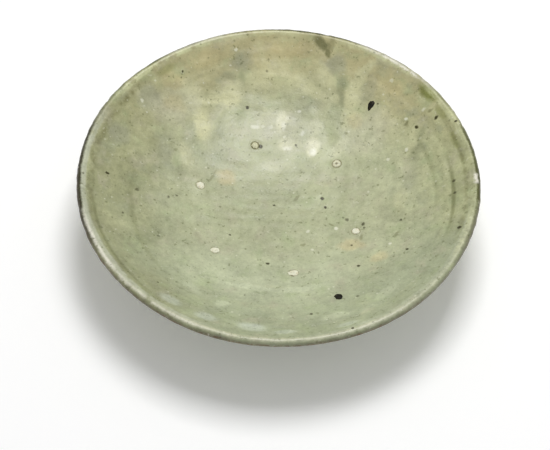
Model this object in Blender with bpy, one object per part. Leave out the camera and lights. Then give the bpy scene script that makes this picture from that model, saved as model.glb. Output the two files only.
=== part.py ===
"""A shallow stoneware dish with a green ash glaze, thrown on the wheel and fired in a stack.

The pieces are those of the making: a thrown clay body, a foot ring luted under it, one coat of
glaze poured inside and one outside, the stubs of the clay spurs that carried the next dish of the
stack, those under its own foot, and two iron nodules that melted through the inner glaze.

Metres, +Z up. The origin is the middle of the plane that the dish stands on.
"""

import math

import bmesh
import bpy
from mathutils import Matrix, Vector
from mathutils.geometry import interpolate_bezier

# Driving dimensions of the dish, measured over the glaze
RIM_DIAMETER = 0.150
INNER_DEPTH = 0.0215
FLOOR_THICKNESS = 0.0065
LIP_THICKNESS = 0.0034
WALL_SLOPE_AT_LIP = math.radians(36)
WALL_SLOPE_AT_FOOT = math.radians(8)

# A finger groove runs round the inside, a little below the lip
LIP_GROOVE_DROP = 0.0072
LIP_GROOVE_WIDTH = 0.0044
LIP_GROOVE_DEPTH = 0.00025

# Foot ring: its middle line lies under the spurs of the dish above, as all dishes of a stack match
SPUR_RING_DIAMETER = 0.0622
FOOT_WIDTH = 0.0054
FOOT_TAPER = 0.0004
FOOT_EDGE_BEVEL = 0.0005
RECESS_HEIGHT = 0.0040
FOOT_SPIGOT_HEIGHT = 0.0010
SHOULDER_HEIGHT = 0.0016

# Glaze coats: the outer one stops short of the foot, so that the dish doesn't stick in the kiln
GLAZE_THICKNESS = 0.0005
BARE_BAND_WIDTH = 0.0022
SEAT_GAP = 0.0003

# Spur stubs inside: (angle in degrees, diameter at the glaze)
SPUR_STUBS = (
    (45, 0.0034),
    (108, 0.0032),
    (163, 0.0033),
    (223, 0.0032),
    (282, 0.0036),
    (341, 0.0031),
)
SPUR_STUB_PROUD = 0.0005
SPUR_STUB_TAPER = 0.0004

# Spur stubs under the foot, one for each spur that the dish stood on
FOOT_STUB_DIAMETER = 0.0030
FOOT_STUB_PROUD = 0.0004
FOOT_STUB_BURIED = 0.0004
FOOT_STUB_TAPER = 0.0002
FOOT_STUB_TURN = math.radians(17)

# Iron nodules: (angle in degrees, distance from the axis, length down the wall, width)
IRON_NODULES = (
    (52, 0.0565, 0.0040, 0.0029),
    (-63, 0.0505, 0.0029, 0.0027),
)
IRON_PROUD = 0.00015
IRON_TAPER = 0.0005

# Facets
TURNED_STEPS = 60
INNER_STATIONS = 10
GROOVE_STATIONS = 4
OUTER_STATIONS = 10
LIP_STATIONS = 6
STUB_SIDES = 16
SHARP_EDGE = math.radians(40)
MERGE_DISTANCE = 0.00001
SLOPE_PROBE = 0.0001

# Derived heights and radii
WELL_HEIGHT = RECESS_HEIGHT + FLOOR_THICKNESS
DISH_HEIGHT = WELL_HEIGHT + INNER_DEPTH
LIP_RADIUS = LIP_THICKNESS / 2
SPUR_RING_RADIUS = SPUR_RING_DIAMETER / 2
FOOT_OUTER_RADIUS = SPUR_RING_RADIUS + FOOT_WIDTH / 2
FOOT_INNER_RADIUS = SPUR_RING_RADIUS - FOOT_WIDTH / 2
SEAT_HEIGHT = RECESS_HEIGHT + FOOT_SPIGOT_HEIGHT
BODY_DEPTH = GLAZE_THICKNESS + SEAT_GAP

# The round of the lip is tangent to both faces of the wall, which are parallel there
LIP_CENTRE = Vector((RIM_DIAMETER / 2 - LIP_RADIUS, DISH_HEIGHT - LIP_RADIUS))
LIP_INNER_NORMAL = Vector((-math.sin(WALL_SLOPE_AT_LIP), math.cos(WALL_SLOPE_AT_LIP)))
LIP_INNER_POINT = LIP_CENTRE + LIP_RADIUS * LIP_INNER_NORMAL
LIP_OUTER_POINT = LIP_CENTRE - LIP_RADIUS * LIP_INNER_NORMAL
LIP_INNER_ANGLE = WALL_SLOPE_AT_LIP + math.pi / 2
LIP_OUTER_ANGLE = WALL_SLOPE_AT_LIP - math.pi / 2
GROOVE_RADIUS = LIP_INNER_POINT.x - LIP_GROOVE_DROP

# The wall springs from a bare shoulder above the foot ring
WALL_SPRING = Vector((FOOT_OUTER_RADIUS, SEAT_HEIGHT + SHOULDER_HEIGHT))

# Exponent of the inner face: the curve that reaches the lip at the wall's slope there
INNER_RISE = LIP_INNER_POINT.y - WELL_HEIGHT
INNER_POWER = math.tan(WALL_SLOPE_AT_LIP) * LIP_INNER_POINT.x / INNER_RISE


def clear_scene():
    """Remove every object that the scene opens with."""
    for existing in list(bpy.data.objects):
        bpy.data.objects.remove(existing)


def fired(name, colour, roughness):
    """A plain fired surface of one colour."""
    material = bpy.data.materials.new(name)
    material.use_nodes = True
    shader = material.node_tree.nodes["Principled BSDF"]
    shader.inputs["Base Color"].default_value = (*colour, 1.0)
    shader.inputs["Roughness"].default_value = roughness
    shader.inputs["Metallic"].default_value = 0.0
    material.diffuse_color = (*colour, 1.0)
    return material


def inner_height(radius):
    """Height of the glazed inner face: a power curve from the well to the lip, less the finger groove."""
    across = abs(radius)
    height = WELL_HEIGHT + INNER_RISE * (across / LIP_INNER_POINT.x) ** INNER_POWER
    from_groove = (across - GROOVE_RADIUS) / (LIP_GROOVE_WIDTH / 2)
    if abs(from_groove) < 1:
        height -= LIP_GROOVE_DEPTH * (1 + math.cos(math.pi * from_groove)) / 2
    return height


def inner_slope(radius):
    """Angle of the inner face above the horizontal."""
    rise = inner_height(radius + SLOPE_PROBE) - inner_height(radius - SLOPE_PROBE)
    return math.atan2(rise, 2 * SLOPE_PROBE)


def inner_stations():
    """Points and normals of the inner face, from the axis to the lip."""
    even = [LIP_INNER_POINT.x * i / INNER_STATIONS for i in range(INNER_STATIONS)]
    groove_start = GROOVE_RADIUS - LIP_GROOVE_WIDTH / 2
    groove_end = GROOVE_RADIUS + LIP_GROOVE_WIDTH / 2
    radii = [r for r in even if not groove_start - SEAT_GAP < r < groove_end + SEAT_GAP]
    radii += [groove_start + LIP_GROOVE_WIDTH * i / GROOVE_STATIONS for i in range(GROOVE_STATIONS + 1)]
    stations = []
    for radius in sorted(radii):
        slope = inner_slope(radius)
        normal = Vector((-math.sin(slope), math.cos(slope)))
        stations.append((Vector((radius, inner_height(radius))), normal))
    return stations


def lip_stations(start, end, steps):
    """Points and normals round the lip between two angles, which fall from the inside to the outside."""
    stations = []
    for i in range(steps + 1):
        angle = start + (end - start) * i / steps
        normal = Vector((math.cos(angle), math.sin(angle)))
        stations.append((LIP_CENTRE + LIP_RADIUS * normal, normal))
    return stations


def outer_stations():
    """Points and normals of the outer face: one curve from the lip down to where the wall springs."""
    third = (LIP_OUTER_POINT - WALL_SPRING).length / 3
    from_lip = -Vector((math.cos(WALL_SLOPE_AT_LIP), math.sin(WALL_SLOPE_AT_LIP)))
    to_foot = -Vector((math.cos(WALL_SLOPE_AT_FOOT), math.sin(WALL_SLOPE_AT_FOOT)))
    points = interpolate_bezier(
        LIP_OUTER_POINT,
        LIP_OUTER_POINT + third * from_lip,
        WALL_SPRING - third * to_foot,
        WALL_SPRING,
        OUTER_STATIONS,
    )
    between = [(after - before).normalized() for before, after in zip(points, points[2:])]
    directions = [from_lip, *between, to_foot]
    return [(point, Vector((-along.y, along.x))) for point, along in zip(points, directions)]


def sunk(stations, depth):
    """The stations' points, moved into the wall by a depth."""
    return [point - depth * normal for point, normal in stations]


def down_to(stations, radius):
    """The stations that lie outside a radius, and one more that is cut off at it."""
    kept = [station for station in stations if station[0].x > radius]
    last_point, last_normal = kept[-1]
    next_point, next_normal = stations[len(kept)]
    share = (last_point.x - radius) / (last_point.x - next_point.x)
    kept.append((last_point.lerp(next_point, share), last_normal.lerp(next_normal, share).normalized()))
    return kept


def node(name, mesh, material):
    """A named object of one mesh and one material, in the scene."""
    mesh.materials.append(material)
    made = bpy.data.objects.new(name, mesh)
    bpy.context.scene.collection.objects.link(made)
    return made


def turned(name, profile, material, closed=False):
    """A piece turned round Z from (radius, height) points that run down its outer side."""
    count = len(profile)
    edges = [(i, i + 1) for i in range(count - 1)]
    if closed:
        edges.append((count - 1, 0))
    mesh = bpy.data.meshes.new(name)
    mesh.from_pydata([(point.x, 0.0, point.y) for point in profile], edges, [])
    made = node(name, mesh, material)
    screw = made.modifiers.new("Turned", "SCREW")
    screw.steps = screw.render_steps = TURNED_STEPS
    screw.use_merge_vertices = True
    screw.merge_threshold = MERGE_DISTANCE
    screw.use_smooth_shade = True
    return made


def oval_plug(length, width, taper, low, high):
    """An upright oval between two heights, narrower at its top by the taper all round."""
    shape = bmesh.new()
    bmesh.ops.create_cone(
        shape,
        cap_ends=True,
        segments=STUB_SIDES,
        radius1=length / 2,
        radius2=length / 2 - taper,
        depth=high - low,
        matrix=Matrix.Translation((0, 0, (high + low) / 2)),
    )
    bmesh.ops.scale(shape, vec=(1, width / length, 1), verts=shape.verts)
    return shape


def finished(name, shape, material):
    """The node of a shape that is done, smooth but for its sharp edges."""
    mesh = bpy.data.meshes.new(name)
    shape.to_mesh(mesh)
    shape.free()
    mesh.shade_smooth()
    mesh.set_sharp_from_angle(angle=SHARP_EDGE)
    return node(name, mesh, material)


def stub(name, length, width, taper, low, high, material):
    """A low oval stub whose upper edge has been rubbed down."""
    shape = oval_plug(length, width, taper, low, high)
    middle = (high + low) / 2
    top_edges = [edge for edge in shape.edges if all(vert.co.z > middle for vert in edge.verts)]
    bmesh.ops.bevel(shape, geom=top_edges, offset=taper / 2, segments=1, affect="EDGES")
    return finished(name, shape, material)


def pocket(wall, name, place, length, width, reach, material):
    """Cut an oval pocket for a stub into a wall, with the seat gap all round it."""
    clear = 2 * SEAT_GAP
    shape = oval_plug(length + clear, width + clear, 0.0, -reach, reach)
    cutter = finished(f"{name}_pocket", shape, material)
    cutter.matrix_world = place
    cutter.hide_render = True
    cutter.display_type = "WIRE"
    cut = wall.modifiers.new(f"Pocket {name}", "BOOLEAN")
    cut.object = cutter
    cut.solver = "EXACT"


def on_inner_face(degrees, radius):
    """Matrix of a place on the inner face: local Z is the face's normal and local X runs up the wall."""
    return (
        Matrix.Rotation(math.radians(degrees), 4, "Z")
        @ Matrix.Translation((radius, 0, inner_height(radius)))
        @ Matrix.Rotation(-inner_slope(radius), 4, "Y")
    )


def seat_inside(glaze, name, place, length, width, taper, proud, material):
    """Seat a stub in its own pocket, which goes through the inner glaze to the clay below."""
    through_glaze = 2 * BODY_DEPTH
    pocket(glaze, name, place, length, width, through_glaze, material)
    made = stub(name, length, width, taper, -GLAZE_THICKNESS, proud, material)
    made.matrix_world = place


def clay_body(clay):
    """The thrown body: well, wall and lip, with a spigot turned under the floor to centre the foot ring."""
    round_lip = lip_stations(LIP_INNER_ANGLE, LIP_OUTER_ANGLE, LIP_STATIONS)
    faces = inner_stations() + round_lip + outer_stations()[1:]
    spigot_radius = FOOT_INNER_RADIUS - SEAT_GAP
    underside = [
        Vector((FOOT_OUTER_RADIUS, SEAT_HEIGHT)),
        Vector((spigot_radius, SEAT_HEIGHT)),
        Vector((spigot_radius, RECESS_HEIGHT)),
        Vector((0.0, RECESS_HEIGHT)),
    ]
    return turned("clay_body", sunk(faces, BODY_DEPTH) + underside, clay)


def foot_ring(clay):
    """The foot ring, tapered to its foot and broken at both lower edges."""
    top = SEAT_HEIGHT - SEAT_GAP
    low = FOOT_STUB_PROUD
    outer_foot = FOOT_OUTER_RADIUS - FOOT_TAPER
    inner_foot = FOOT_INNER_RADIUS + FOOT_TAPER
    profile = [
        Vector((FOOT_INNER_RADIUS, top)),
        Vector((FOOT_OUTER_RADIUS, top)),
        Vector((outer_foot, low + FOOT_EDGE_BEVEL)),
        Vector((outer_foot - FOOT_EDGE_BEVEL, low)),
        Vector((inner_foot + FOOT_EDGE_BEVEL, low)),
        Vector((inner_foot, low + FOOT_EDGE_BEVEL)),
    ]
    return turned("foot_ring", profile, clay, closed=True)


def glaze_seam():
    """Angles on the lip where the inner coat ends and the outer one starts, a seat gap apart."""
    half_gap = SEAT_GAP / (LIP_RADIUS - GLAZE_THICKNESS) / 2
    return WALL_SLOPE_AT_LIP + half_gap, WALL_SLOPE_AT_LIP - half_gap


def inner_glaze(glaze):
    """The coat poured inside, from the middle of the well to the crest of the lip."""
    inner_end, _ = glaze_seam()
    coat = inner_stations() + lip_stations(LIP_INNER_ANGLE, inner_end, LIP_STATIONS // 2)
    under = sunk(coat, GLAZE_THICKNESS)
    return turned("inner_glaze", sunk(coat, 0.0) + under[::-1], glaze)


def outer_glaze(glaze):
    """The coat on the outside, from the crest of the lip to the bare band round the foot."""
    _, outer_start = glaze_seam()
    round_lip = lip_stations(outer_start, LIP_OUTER_ANGLE, LIP_STATIONS // 2)
    coat = round_lip + down_to(outer_stations()[1:], FOOT_OUTER_RADIUS + BARE_BAND_WIDTH)
    under = sunk(coat, GLAZE_THICKNESS)
    return turned("outer_glaze", sunk(coat, 0.0) + under[::-1], glaze, closed=True)


def spur_stubs(glaze, spur_clay):
    """What is left inside of the spurs that carried the next dish."""
    for number, (degrees, diameter) in enumerate(SPUR_STUBS, start=1):
        name = f"spur_stub_{number}"
        place = on_inner_face(degrees, SPUR_RING_RADIUS)
        seat_inside(glaze, name, place, diameter, diameter, SPUR_STUB_TAPER, SPUR_STUB_PROUD, spur_clay)


def iron_nodules(glaze, iron):
    """Two grains of iron slag that came up out of the clay and melted through the inner glaze."""
    for number, (degrees, radius, length, width) in enumerate(IRON_NODULES, start=1):
        place = on_inner_face(degrees, radius)
        seat_inside(glaze, f"iron_nodule_{number}", place, length, width, IRON_TAPER, IRON_PROUD, iron)


def foot_stubs(ring, spur_clay):
    """What is left under the foot of the spurs that the dish stood on: the pads that it now stands on."""
    count = len(SPUR_STUBS)
    turn_over = Matrix.Rotation(math.pi, 4, "X")
    for number in range(count):
        name = f"foot_stub_{number + 1}"
        turn = Matrix.Rotation(FOOT_STUB_TURN + math.tau * number / count, 4, "Z")
        place = turn @ Matrix.Translation((SPUR_RING_RADIUS, 0, FOOT_STUB_PROUD)) @ turn_over
        across = FOOT_STUB_DIAMETER
        pocket(ring, name, place, across, across, FOOT_STUB_BURIED + SEAT_GAP, spur_clay)
        made = stub(name, across, across, FOOT_STUB_TAPER, -FOOT_STUB_BURIED, FOOT_STUB_PROUD, spur_clay)
        made.matrix_world = place


def main():
    """Make the four fired materials, then the pieces from the clay outwards."""
    clear_scene()
    clay = fired("stoneware", (0.30, 0.22, 0.16), 0.85)
    glaze = fired("green_glaze", (0.36, 0.38, 0.25), 0.35)
    spur_clay = fired("spur_clay", (0.72, 0.66, 0.55), 0.9)
    iron = fired("iron_slag", (0.02, 0.02, 0.018), 0.4)
    clay_body(clay)
    ring = foot_ring(clay)
    inside = inner_glaze(glaze)
    outer_glaze(glaze)
    spur_stubs(inside, spur_clay)
    iron_nodules(inside, iron)
    foot_stubs(ring, spur_clay)


main()
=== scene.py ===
"""Looks of a shallow stoneware dish with a green ash glaze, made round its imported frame.

The meshes are in metres, and the finishes work in millimetres. Both use the dish's own axes: the
axis of the dish is Z, the dish stands on Z = 0, and -Y points towards the camera.
"""

import logging
import math
from dataclasses import dataclass
from enum import Enum
from functools import reduce
from itertools import chain
from typing import Any, Iterable, Iterator, Mapping, Optional, Sequence, Tuple, Union

import bpy
import numpy as np
from mathutils import Matrix, Vector


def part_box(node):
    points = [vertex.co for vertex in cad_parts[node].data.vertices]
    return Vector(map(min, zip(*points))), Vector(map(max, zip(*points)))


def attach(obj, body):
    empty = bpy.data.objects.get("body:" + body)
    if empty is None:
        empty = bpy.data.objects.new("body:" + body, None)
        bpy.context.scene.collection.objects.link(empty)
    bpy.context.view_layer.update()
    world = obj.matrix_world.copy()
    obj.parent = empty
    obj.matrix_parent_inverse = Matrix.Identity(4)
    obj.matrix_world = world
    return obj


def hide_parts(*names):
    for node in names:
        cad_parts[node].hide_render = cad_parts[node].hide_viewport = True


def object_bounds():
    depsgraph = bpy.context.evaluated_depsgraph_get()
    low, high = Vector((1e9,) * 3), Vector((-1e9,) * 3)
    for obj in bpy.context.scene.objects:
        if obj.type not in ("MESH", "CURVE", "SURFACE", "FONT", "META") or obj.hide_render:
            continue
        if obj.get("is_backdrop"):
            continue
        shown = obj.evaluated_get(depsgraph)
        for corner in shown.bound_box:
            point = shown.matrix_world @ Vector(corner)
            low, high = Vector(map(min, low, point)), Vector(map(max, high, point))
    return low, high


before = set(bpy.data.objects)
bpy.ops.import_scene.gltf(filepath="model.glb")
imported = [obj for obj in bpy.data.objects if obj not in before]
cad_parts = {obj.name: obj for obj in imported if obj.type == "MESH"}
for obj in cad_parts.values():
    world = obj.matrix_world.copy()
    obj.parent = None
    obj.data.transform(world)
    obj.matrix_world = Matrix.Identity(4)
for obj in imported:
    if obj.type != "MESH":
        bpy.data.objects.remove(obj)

LOG = logging.getLogger("dish")
CAD_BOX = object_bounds()
BODY = "root"
MM = 0.001
SHARP_EDGE = math.radians(50)
SAME_PLACE = 1e-9

Array = np.ndarray
Colour = Tuple[float, float, float]
Span = Tuple[float, float]
Run = Tuple[float, float, float]
Value = Union[float, "Wire"]
Piece = bpy.types.Object
Finish = bpy.types.Material

WHITE: Colour = (1.0, 1.0, 1.0)


def srgb(red: int, green: int, blue: int) -> Colour:
    """Turn a colour of 0 to 255 as seen on a screen into the linear one that shaders use.

    Args:
        red, green, blue: the colour's parts, 0 to 255.

    Returns:
        The linear colour, 0 to 1, by the usual curve with a straight toe.
    """
    parts = [part / 255 for part in (red, green, blue)]
    return tuple(p / 12.92 if p <= 0.04045 else ((p + 0.055) / 1.055) ** 2.4 for p in parts)


def bell(distance: Array, width: float) -> Array:
    """A bell curve: e to the power of minus the square of distance over width."""
    return np.exp(-((distance / width) ** 2))


def ease(value: Array, start: float, end: float) -> Array:
    """Smooth step from 0 at start to 1 at end: 3 t squared less 2 t cubed, with t held in 0 to 1."""
    share = np.clip((value - start) / (end - start), 0, 1)
    return share * share * (3 - 2 * share)


def round_axis(steps: int) -> Array:
    """Angles of evenly spaced steps round an axis."""
    return np.linspace(0, 2 * math.pi, steps, endpoint=False)


def past_bearing(angles: Array, degrees: float) -> Array:
    """Angles counted from a bearing, from minus half a turn to half a turn."""
    return np.angle(np.exp(1j * (angles - math.radians(degrees))))


def from_axis(points: Array) -> Array:
    """Distance of each point from the axis of the dish."""
    return np.hypot(points[..., 0], points[..., 1])


def spun(points: Array, degrees: float) -> Array:
    """Points turned about the Z axis."""
    return points @ np.array(Matrix.Rotation(math.radians(degrees), 3, "Z")).T


def graded(*runs: Run) -> Array:
    """Values that run on from stretch to stretch, each with a spacing of its own.

    Args:
        runs: start, end and spacing of each stretch, where a stretch starts at the last one's end.

    Returns:
        The values of all stretches in order, with no value twice.
    """
    stretches = [np.linspace(a, b, max(2, round(abs(b - a) / step) + 1))[:-1] for a, b, step in runs]
    return np.concatenate((*stretches, [runs[-1][1]]))


class Ends(Enum):
    """How a grid of rows that run round an axis is closed across its rows."""

    POLES = "each end row is drawn to a point"
    LOOP = "the last row joins the first"


def skin(name: str, grid: Array, ends: Ends) -> Piece:
    """Make a closed, smooth mesh from a grid of points whose steps run round an axis.

    Each point is joined to its neighbours in the next row and the next step by a four-sided face.
    Where the rows end in poles, a pole is the mean of its end row. The faces point outwards: they
    are turned round if the volume they enclose, a sixth of the sum of the triple products of their
    corners, comes out negative.

    Args:
        name: name of the piece.
        grid: points by row and step.
        ends: how the rows are closed.

    Returns:
        The object, at the origin of the scene.
    """
    rows, steps, _ = grid.shape
    number = np.arange(rows * steps).reshape(rows, steps)
    points = grid.reshape(-1, 3)
    if ends is Ends.LOOP:
        upper, lower = number, np.roll(number, -1, axis=0)
        fans = np.empty((0, 3), int)
    else:
        upper, lower = number[:-1], number[1:]
        points = np.vstack((points, grid[0].mean(0), grid[-1].mean(0)))
        top = np.full(steps, rows * steps)
        first, last = number[0], number[-1]
        fans = np.vstack((
            np.stack((top, first, np.roll(first, -1)), axis=-1),
            np.stack((last, top + 1, np.roll(last, -1)), axis=-1),
        ))
    next_upper, next_lower = np.roll(upper, -1, axis=1), np.roll(lower, -1, axis=1)
    quads = np.stack((upper, lower, next_lower, next_upper), axis=-1).reshape(-1, 4)
    halves = np.vstack((quads[:, (0, 1, 2)], quads[:, (0, 2, 3)], fans))
    a, b, c = (points[halves[:, corner]] for corner in range(3))
    if np.einsum("ij,ij->", a, np.cross(b, c)) < 0:
        quads, fans = quads[:, ::-1], fans[:, ::-1]
    mesh = bpy.data.meshes.new(name)
    mesh.from_pydata(points.tolist(), [], quads.tolist() + fans.tolist())
    mesh.shade_smooth()
    mesh.set_sharp_from_angle(angle=SHARP_EDGE)
    made = bpy.data.objects.new(name, mesh)
    bpy.context.scene.collection.objects.link(made)
    return made


def mark(piece: Piece, name: str, values: Array) -> None:
    """Store a value at each point of a piece, for its finish to read.

    Args:
        piece: a piece made by skin.
        name: name of the attribute.
        values: one value for each row and step; a pole takes the mean of its end row.
    """
    flat = values.ravel()
    if len(flat) < len(piece.data.vertices):
        flat = np.concatenate((flat, [values[0].mean(), values[-1].mean()]))
    stored = piece.data.attributes.new(name, "FLOAT", "POINT")
    stored.data.foreach_set("value", flat.astype(np.float32))


@dataclass(frozen=True)
class Seat:
    """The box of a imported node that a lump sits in."""

    low: Array
    high: Array

    @classmethod
    def of(cls, node: str) -> "Seat":
        """Read the box of a node."""
        return cls(*(np.array(corner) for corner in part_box(node)))

    @property
    def middle(self) -> Array:
        """Middle of the box."""
        return (self.low + self.high) / 2

    @property
    def half(self) -> Array:
        """Half of the box's lengths."""
        return (self.high - self.low) / 2


@dataclass(frozen=True)
class Strip:
    """Rows of a turned face: radius and height of each place, and the face's outward normal there."""

    place: Array
    normal: Array

    def raised(self, height: Union[float, Array]) -> "Strip":
        """The strip moved along its normals.

        Args:
            height: how far, one for all places or one for each.

        Returns:
            The moved strip, with the same normals.
        """
        lift = np.asarray(height)[..., None] if np.ndim(height) else height
        place = self.place + self.normal * lift
        return Strip(place, np.broadcast_to(self.normal, place.shape))

    def then(self, other: "Strip") -> "Strip":
        """The strip followed by the rows of another one.

        Args:
            other: the strip that follows.

        Returns:
            One strip, as many steps wide as the wider of the two.
        """
        steps = max(self.place.shape[1], other.place.shape[1])
        widen = [
            np.broadcast_to(part, (part.shape[0], steps, 2))
            for part in (self.place, other.place, self.normal, other.normal)
        ]
        return Strip(np.concatenate(widen[:2]), np.concatenate(widen[2:]))

    def rows(self, pick: Union[slice, Array]) -> "Strip":
        """Some of the rows."""
        return Strip(self.place[pick], self.normal[pick])

    def travel(self) -> Array:
        """Length along the strip from its first row to each row, at the first step."""
        hops = np.linalg.norm(np.diff(self.place[:, 0], axis=0), axis=-1)
        return np.concatenate(([0.0], np.cumsum(hops)))

    def wrapped(self, angles: Array, sway: Union[float, Array] = 0.0) -> Array:
        """Carry the rows round the axis: x is radius times cosine, y radius times sine, z height.

        Args:
            angles: angle of each step.
            sway: what each place's radius grows by.

        Returns:
            Points by row and step.
        """
        radius = self.place[..., 0] + sway
        height = np.broadcast_to(self.place[..., 1], np.broadcast_shapes(radius.shape, angles.shape))
        return np.stack((radius * np.cos(angles), radius * np.sin(angles), height), axis=-1)


def polyline(corners: Sequence[Tuple[float, float]], spacing: float) -> Strip:
    """Rows along a line with corners, with each stretch's normal to the left of its run.

    Args:
        corners: radius and height of each corner.
        spacing: distance between rows.

    Returns:
        The strip, with a row at each end of each stretch.
    """
    places, normals = [], []
    for start, end in zip(np.asarray(corners[:-1]), np.asarray(corners[1:])):
        along = end - start
        share = np.linspace(0, 1, max(2, round(np.linalg.norm(along) / spacing) + 1))
        normal = np.array((-along[1], along[0])) / np.linalg.norm(along)
        places.append(start + share[:, None] * along)
        normals.append(np.broadcast_to(normal, places[-1].shape))
    return Strip(np.concatenate(places)[:, None], np.concatenate(normals)[:, None])


@dataclass(frozen=True)
class DishForm:
    """The turned form that the clay and both coats of glaze follow."""

    rim_radius: float
    height: float
    well_height: float
    recess_height: float
    seat_height: float
    foot_top: float
    foot_bottom: float
    foot_outer: float
    glaze: float = 0.5 * MM
    seat_gap: float = 0.3 * MM
    lip_thickness: float = 3.4 * MM
    lip_slope: float = math.radians(36)
    foot_slope: float = math.radians(8)
    foot_width: float = 5.4 * MM
    shoulder: float = 1.6 * MM
    groove_drop: float = 7.2 * MM
    groove_width: float = 4.4 * MM
    groove_depth: float = 0.25 * MM
    bed_gap: float = 0.05 * MM

    @classmethod
    def from_frame(cls) -> "DishForm":
        """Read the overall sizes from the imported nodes.

        Returns:
            The form, with its remaining sizes as they stand in the class.
        """
        inner_low, inner_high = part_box("inner_glaze")
        _, outer_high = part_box("outer_glaze")
        body_low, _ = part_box("clay_body")
        foot_low, foot_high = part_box("foot_ring")
        return cls(
            rim_radius=outer_high.x,
            height=inner_high.z,
            well_height=inner_low.z + cls.glaze,
            recess_height=body_low.z,
            seat_height=foot_high.z + cls.seat_gap,
            foot_top=foot_high.z,
            foot_bottom=foot_low.z,
            foot_outer=foot_high.x,
        )

    @property
    def lip_radius(self) -> float:
        """Radius of the round of the lip."""
        return self.lip_thickness / 2

    @property
    def foot_inner(self) -> float:
        """Inner radius of the foot ring at its top."""
        return self.foot_outer - self.foot_width

    @property
    def coat(self) -> float:
        """Depth from the face of the glaze to the clay."""
        return self.glaze + self.seat_gap

    @property
    def bed(self) -> float:
        """Depth to which a stub or a nodule is set in the glaze, just short of the clay."""
        return self.coat - self.bed_gap

    @property
    def lip_centre(self) -> Array:
        """Radius and height of the middle of the lip's round."""
        return np.array((self.rim_radius - self.lip_radius, self.height - self.lip_radius))

    def lip_tangent(self, inside: bool) -> Array:
        """Where the round of the lip runs into the inner or the outer face."""
        across = np.array((-math.sin(self.lip_slope), math.cos(self.lip_slope)))
        return self.lip_centre + (1 if inside else -1) * self.lip_radius * across

    def inner_height(self, radius: Array) -> Array:
        """Height of the inner face: a power of the radius that meets the lip at its slope, less a groove.

        Args:
            radius: distances from the axis.

        Returns:
            Heights. The finger groove under the lip is one wave of a raised cosine.
        """
        reach, top = self.lip_tangent(inside=True)
        rise = top - self.well_height
        power = math.tan(self.lip_slope) * reach / rise
        share = np.clip((radius - reach + self.groove_drop) / (self.groove_width / 2), -1, 1)
        groove = self.groove_depth * (1 + np.cos(np.pi * share)) / 2
        return self.well_height + rise * (np.abs(radius) / reach) ** power - groove

    def inner_slope(self, radius: Array) -> Array:
        """Angle of the inner face, from its heights a tenth of a millimetre to either side."""
        probe = 0.1 * MM
        return np.arctan2(self.inner_height(radius + probe) - self.inner_height(radius - probe), 2 * probe)

    def inner_face(self, radii: Array) -> Strip:
        """The inner face at given radii.

        Args:
            radii: distance of each row from the axis.

        Returns:
            The strip, with normals that point up and in.
        """
        slope = self.inner_slope(radii)
        place = np.stack((radii, self.inner_height(radii)), axis=-1)
        normal = np.stack((-np.sin(slope), np.cos(slope)), axis=-1)
        return Strip(place[:, None], normal[:, None])

    def lip(self, start: float, end: float, rows: int) -> Strip:
        """The round of the lip.

        Args:
            start, end: angles above the horizontal of the first and the last row.
            rows: number of rows.

        Returns:
            The strip, with normals that point away from the middle of the round.
        """
        angle = np.linspace(start, end, rows)
        normal = np.stack((np.cos(angle), np.sin(angle)), axis=-1)[:, None]
        return Strip(self.lip_centre + self.lip_radius * normal, normal)

    def outer_face(self, share: Array) -> Strip:
        """The outer face: a cubic curve from the lip to the shoulder, whose handles are a third of its chord.

        Args:
            share: how far along the curve each place is, from 0 at the lip to 1 at the shoulder, by row
                and step.

        Returns:
            The strip, with normals that point down and out.
        """
        start = self.lip_tangent(inside=False)
        end = np.array((self.foot_outer, self.seat_height + self.shoulder))
        third = np.linalg.norm(end - start) / 3
        first = start - third * np.array((math.cos(self.lip_slope), math.sin(self.lip_slope)))
        second = end + third * np.array((math.cos(self.foot_slope), math.sin(self.foot_slope)))
        t = share[..., None]
        s = 1 - t
        place = s**3 * start + 3 * s * s * t * first + 3 * s * t * t * second + t**3 * end
        along = s * s * (first - start) + 2 * s * t * (second - first) + t * t * (end - second)
        along /= np.linalg.norm(along, axis=-1, keepdims=True)
        return Strip(place, np.stack((-along[..., 1], along[..., 0]), axis=-1))

    def on_inner_face(self, x: float, y: float) -> Tuple[Array, Array]:
        """A place on the inner face and its own axes.

        Args:
            x, y: the place, seen from above.

        Returns:
            The place, and the axes as rows: up the wall, sideways, and square out of the face.
        """
        radius, angle = math.hypot(x, y), math.atan2(y, x)
        slope = float(self.inner_slope(np.array(radius)))
        outward = np.array((math.cos(angle), math.sin(angle), 0.0))
        upward = np.array((0.0, 0.0, 1.0))
        up_wall = math.cos(slope) * outward + math.sin(slope) * upward
        square = math.cos(slope) * upward - math.sin(slope) * outward
        place = np.array((x, y, float(self.inner_height(np.array(radius)))))
        return place, np.stack((up_wall, np.cross(square, up_wall), square))


@dataclass(frozen=True)
class ThrowingRing:
    """A ridge, or a groove if its height is negative, that fingers left in the turning clay."""

    radius: float
    width: float
    height: float
    side: float
    spread: float
    wander: float = 0.4 * MM

    def lift(self, angles: Array, radii: Array) -> Array:
        """Height of the ring: a bell across its width, times a bell over the angle from its strong side.

        Args:
            angles: angle of each step.
            radii: distance of each place from the axis.

        Returns:
            Heights by row and step.
        """
        away = np.degrees(past_bearing(angles, self.side))
        drift = self.wander * np.cos(2 * angles + self.radius / MM)
        return self.height * bell(radii - self.radius - drift, self.width) * bell(away, self.spread)


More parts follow.
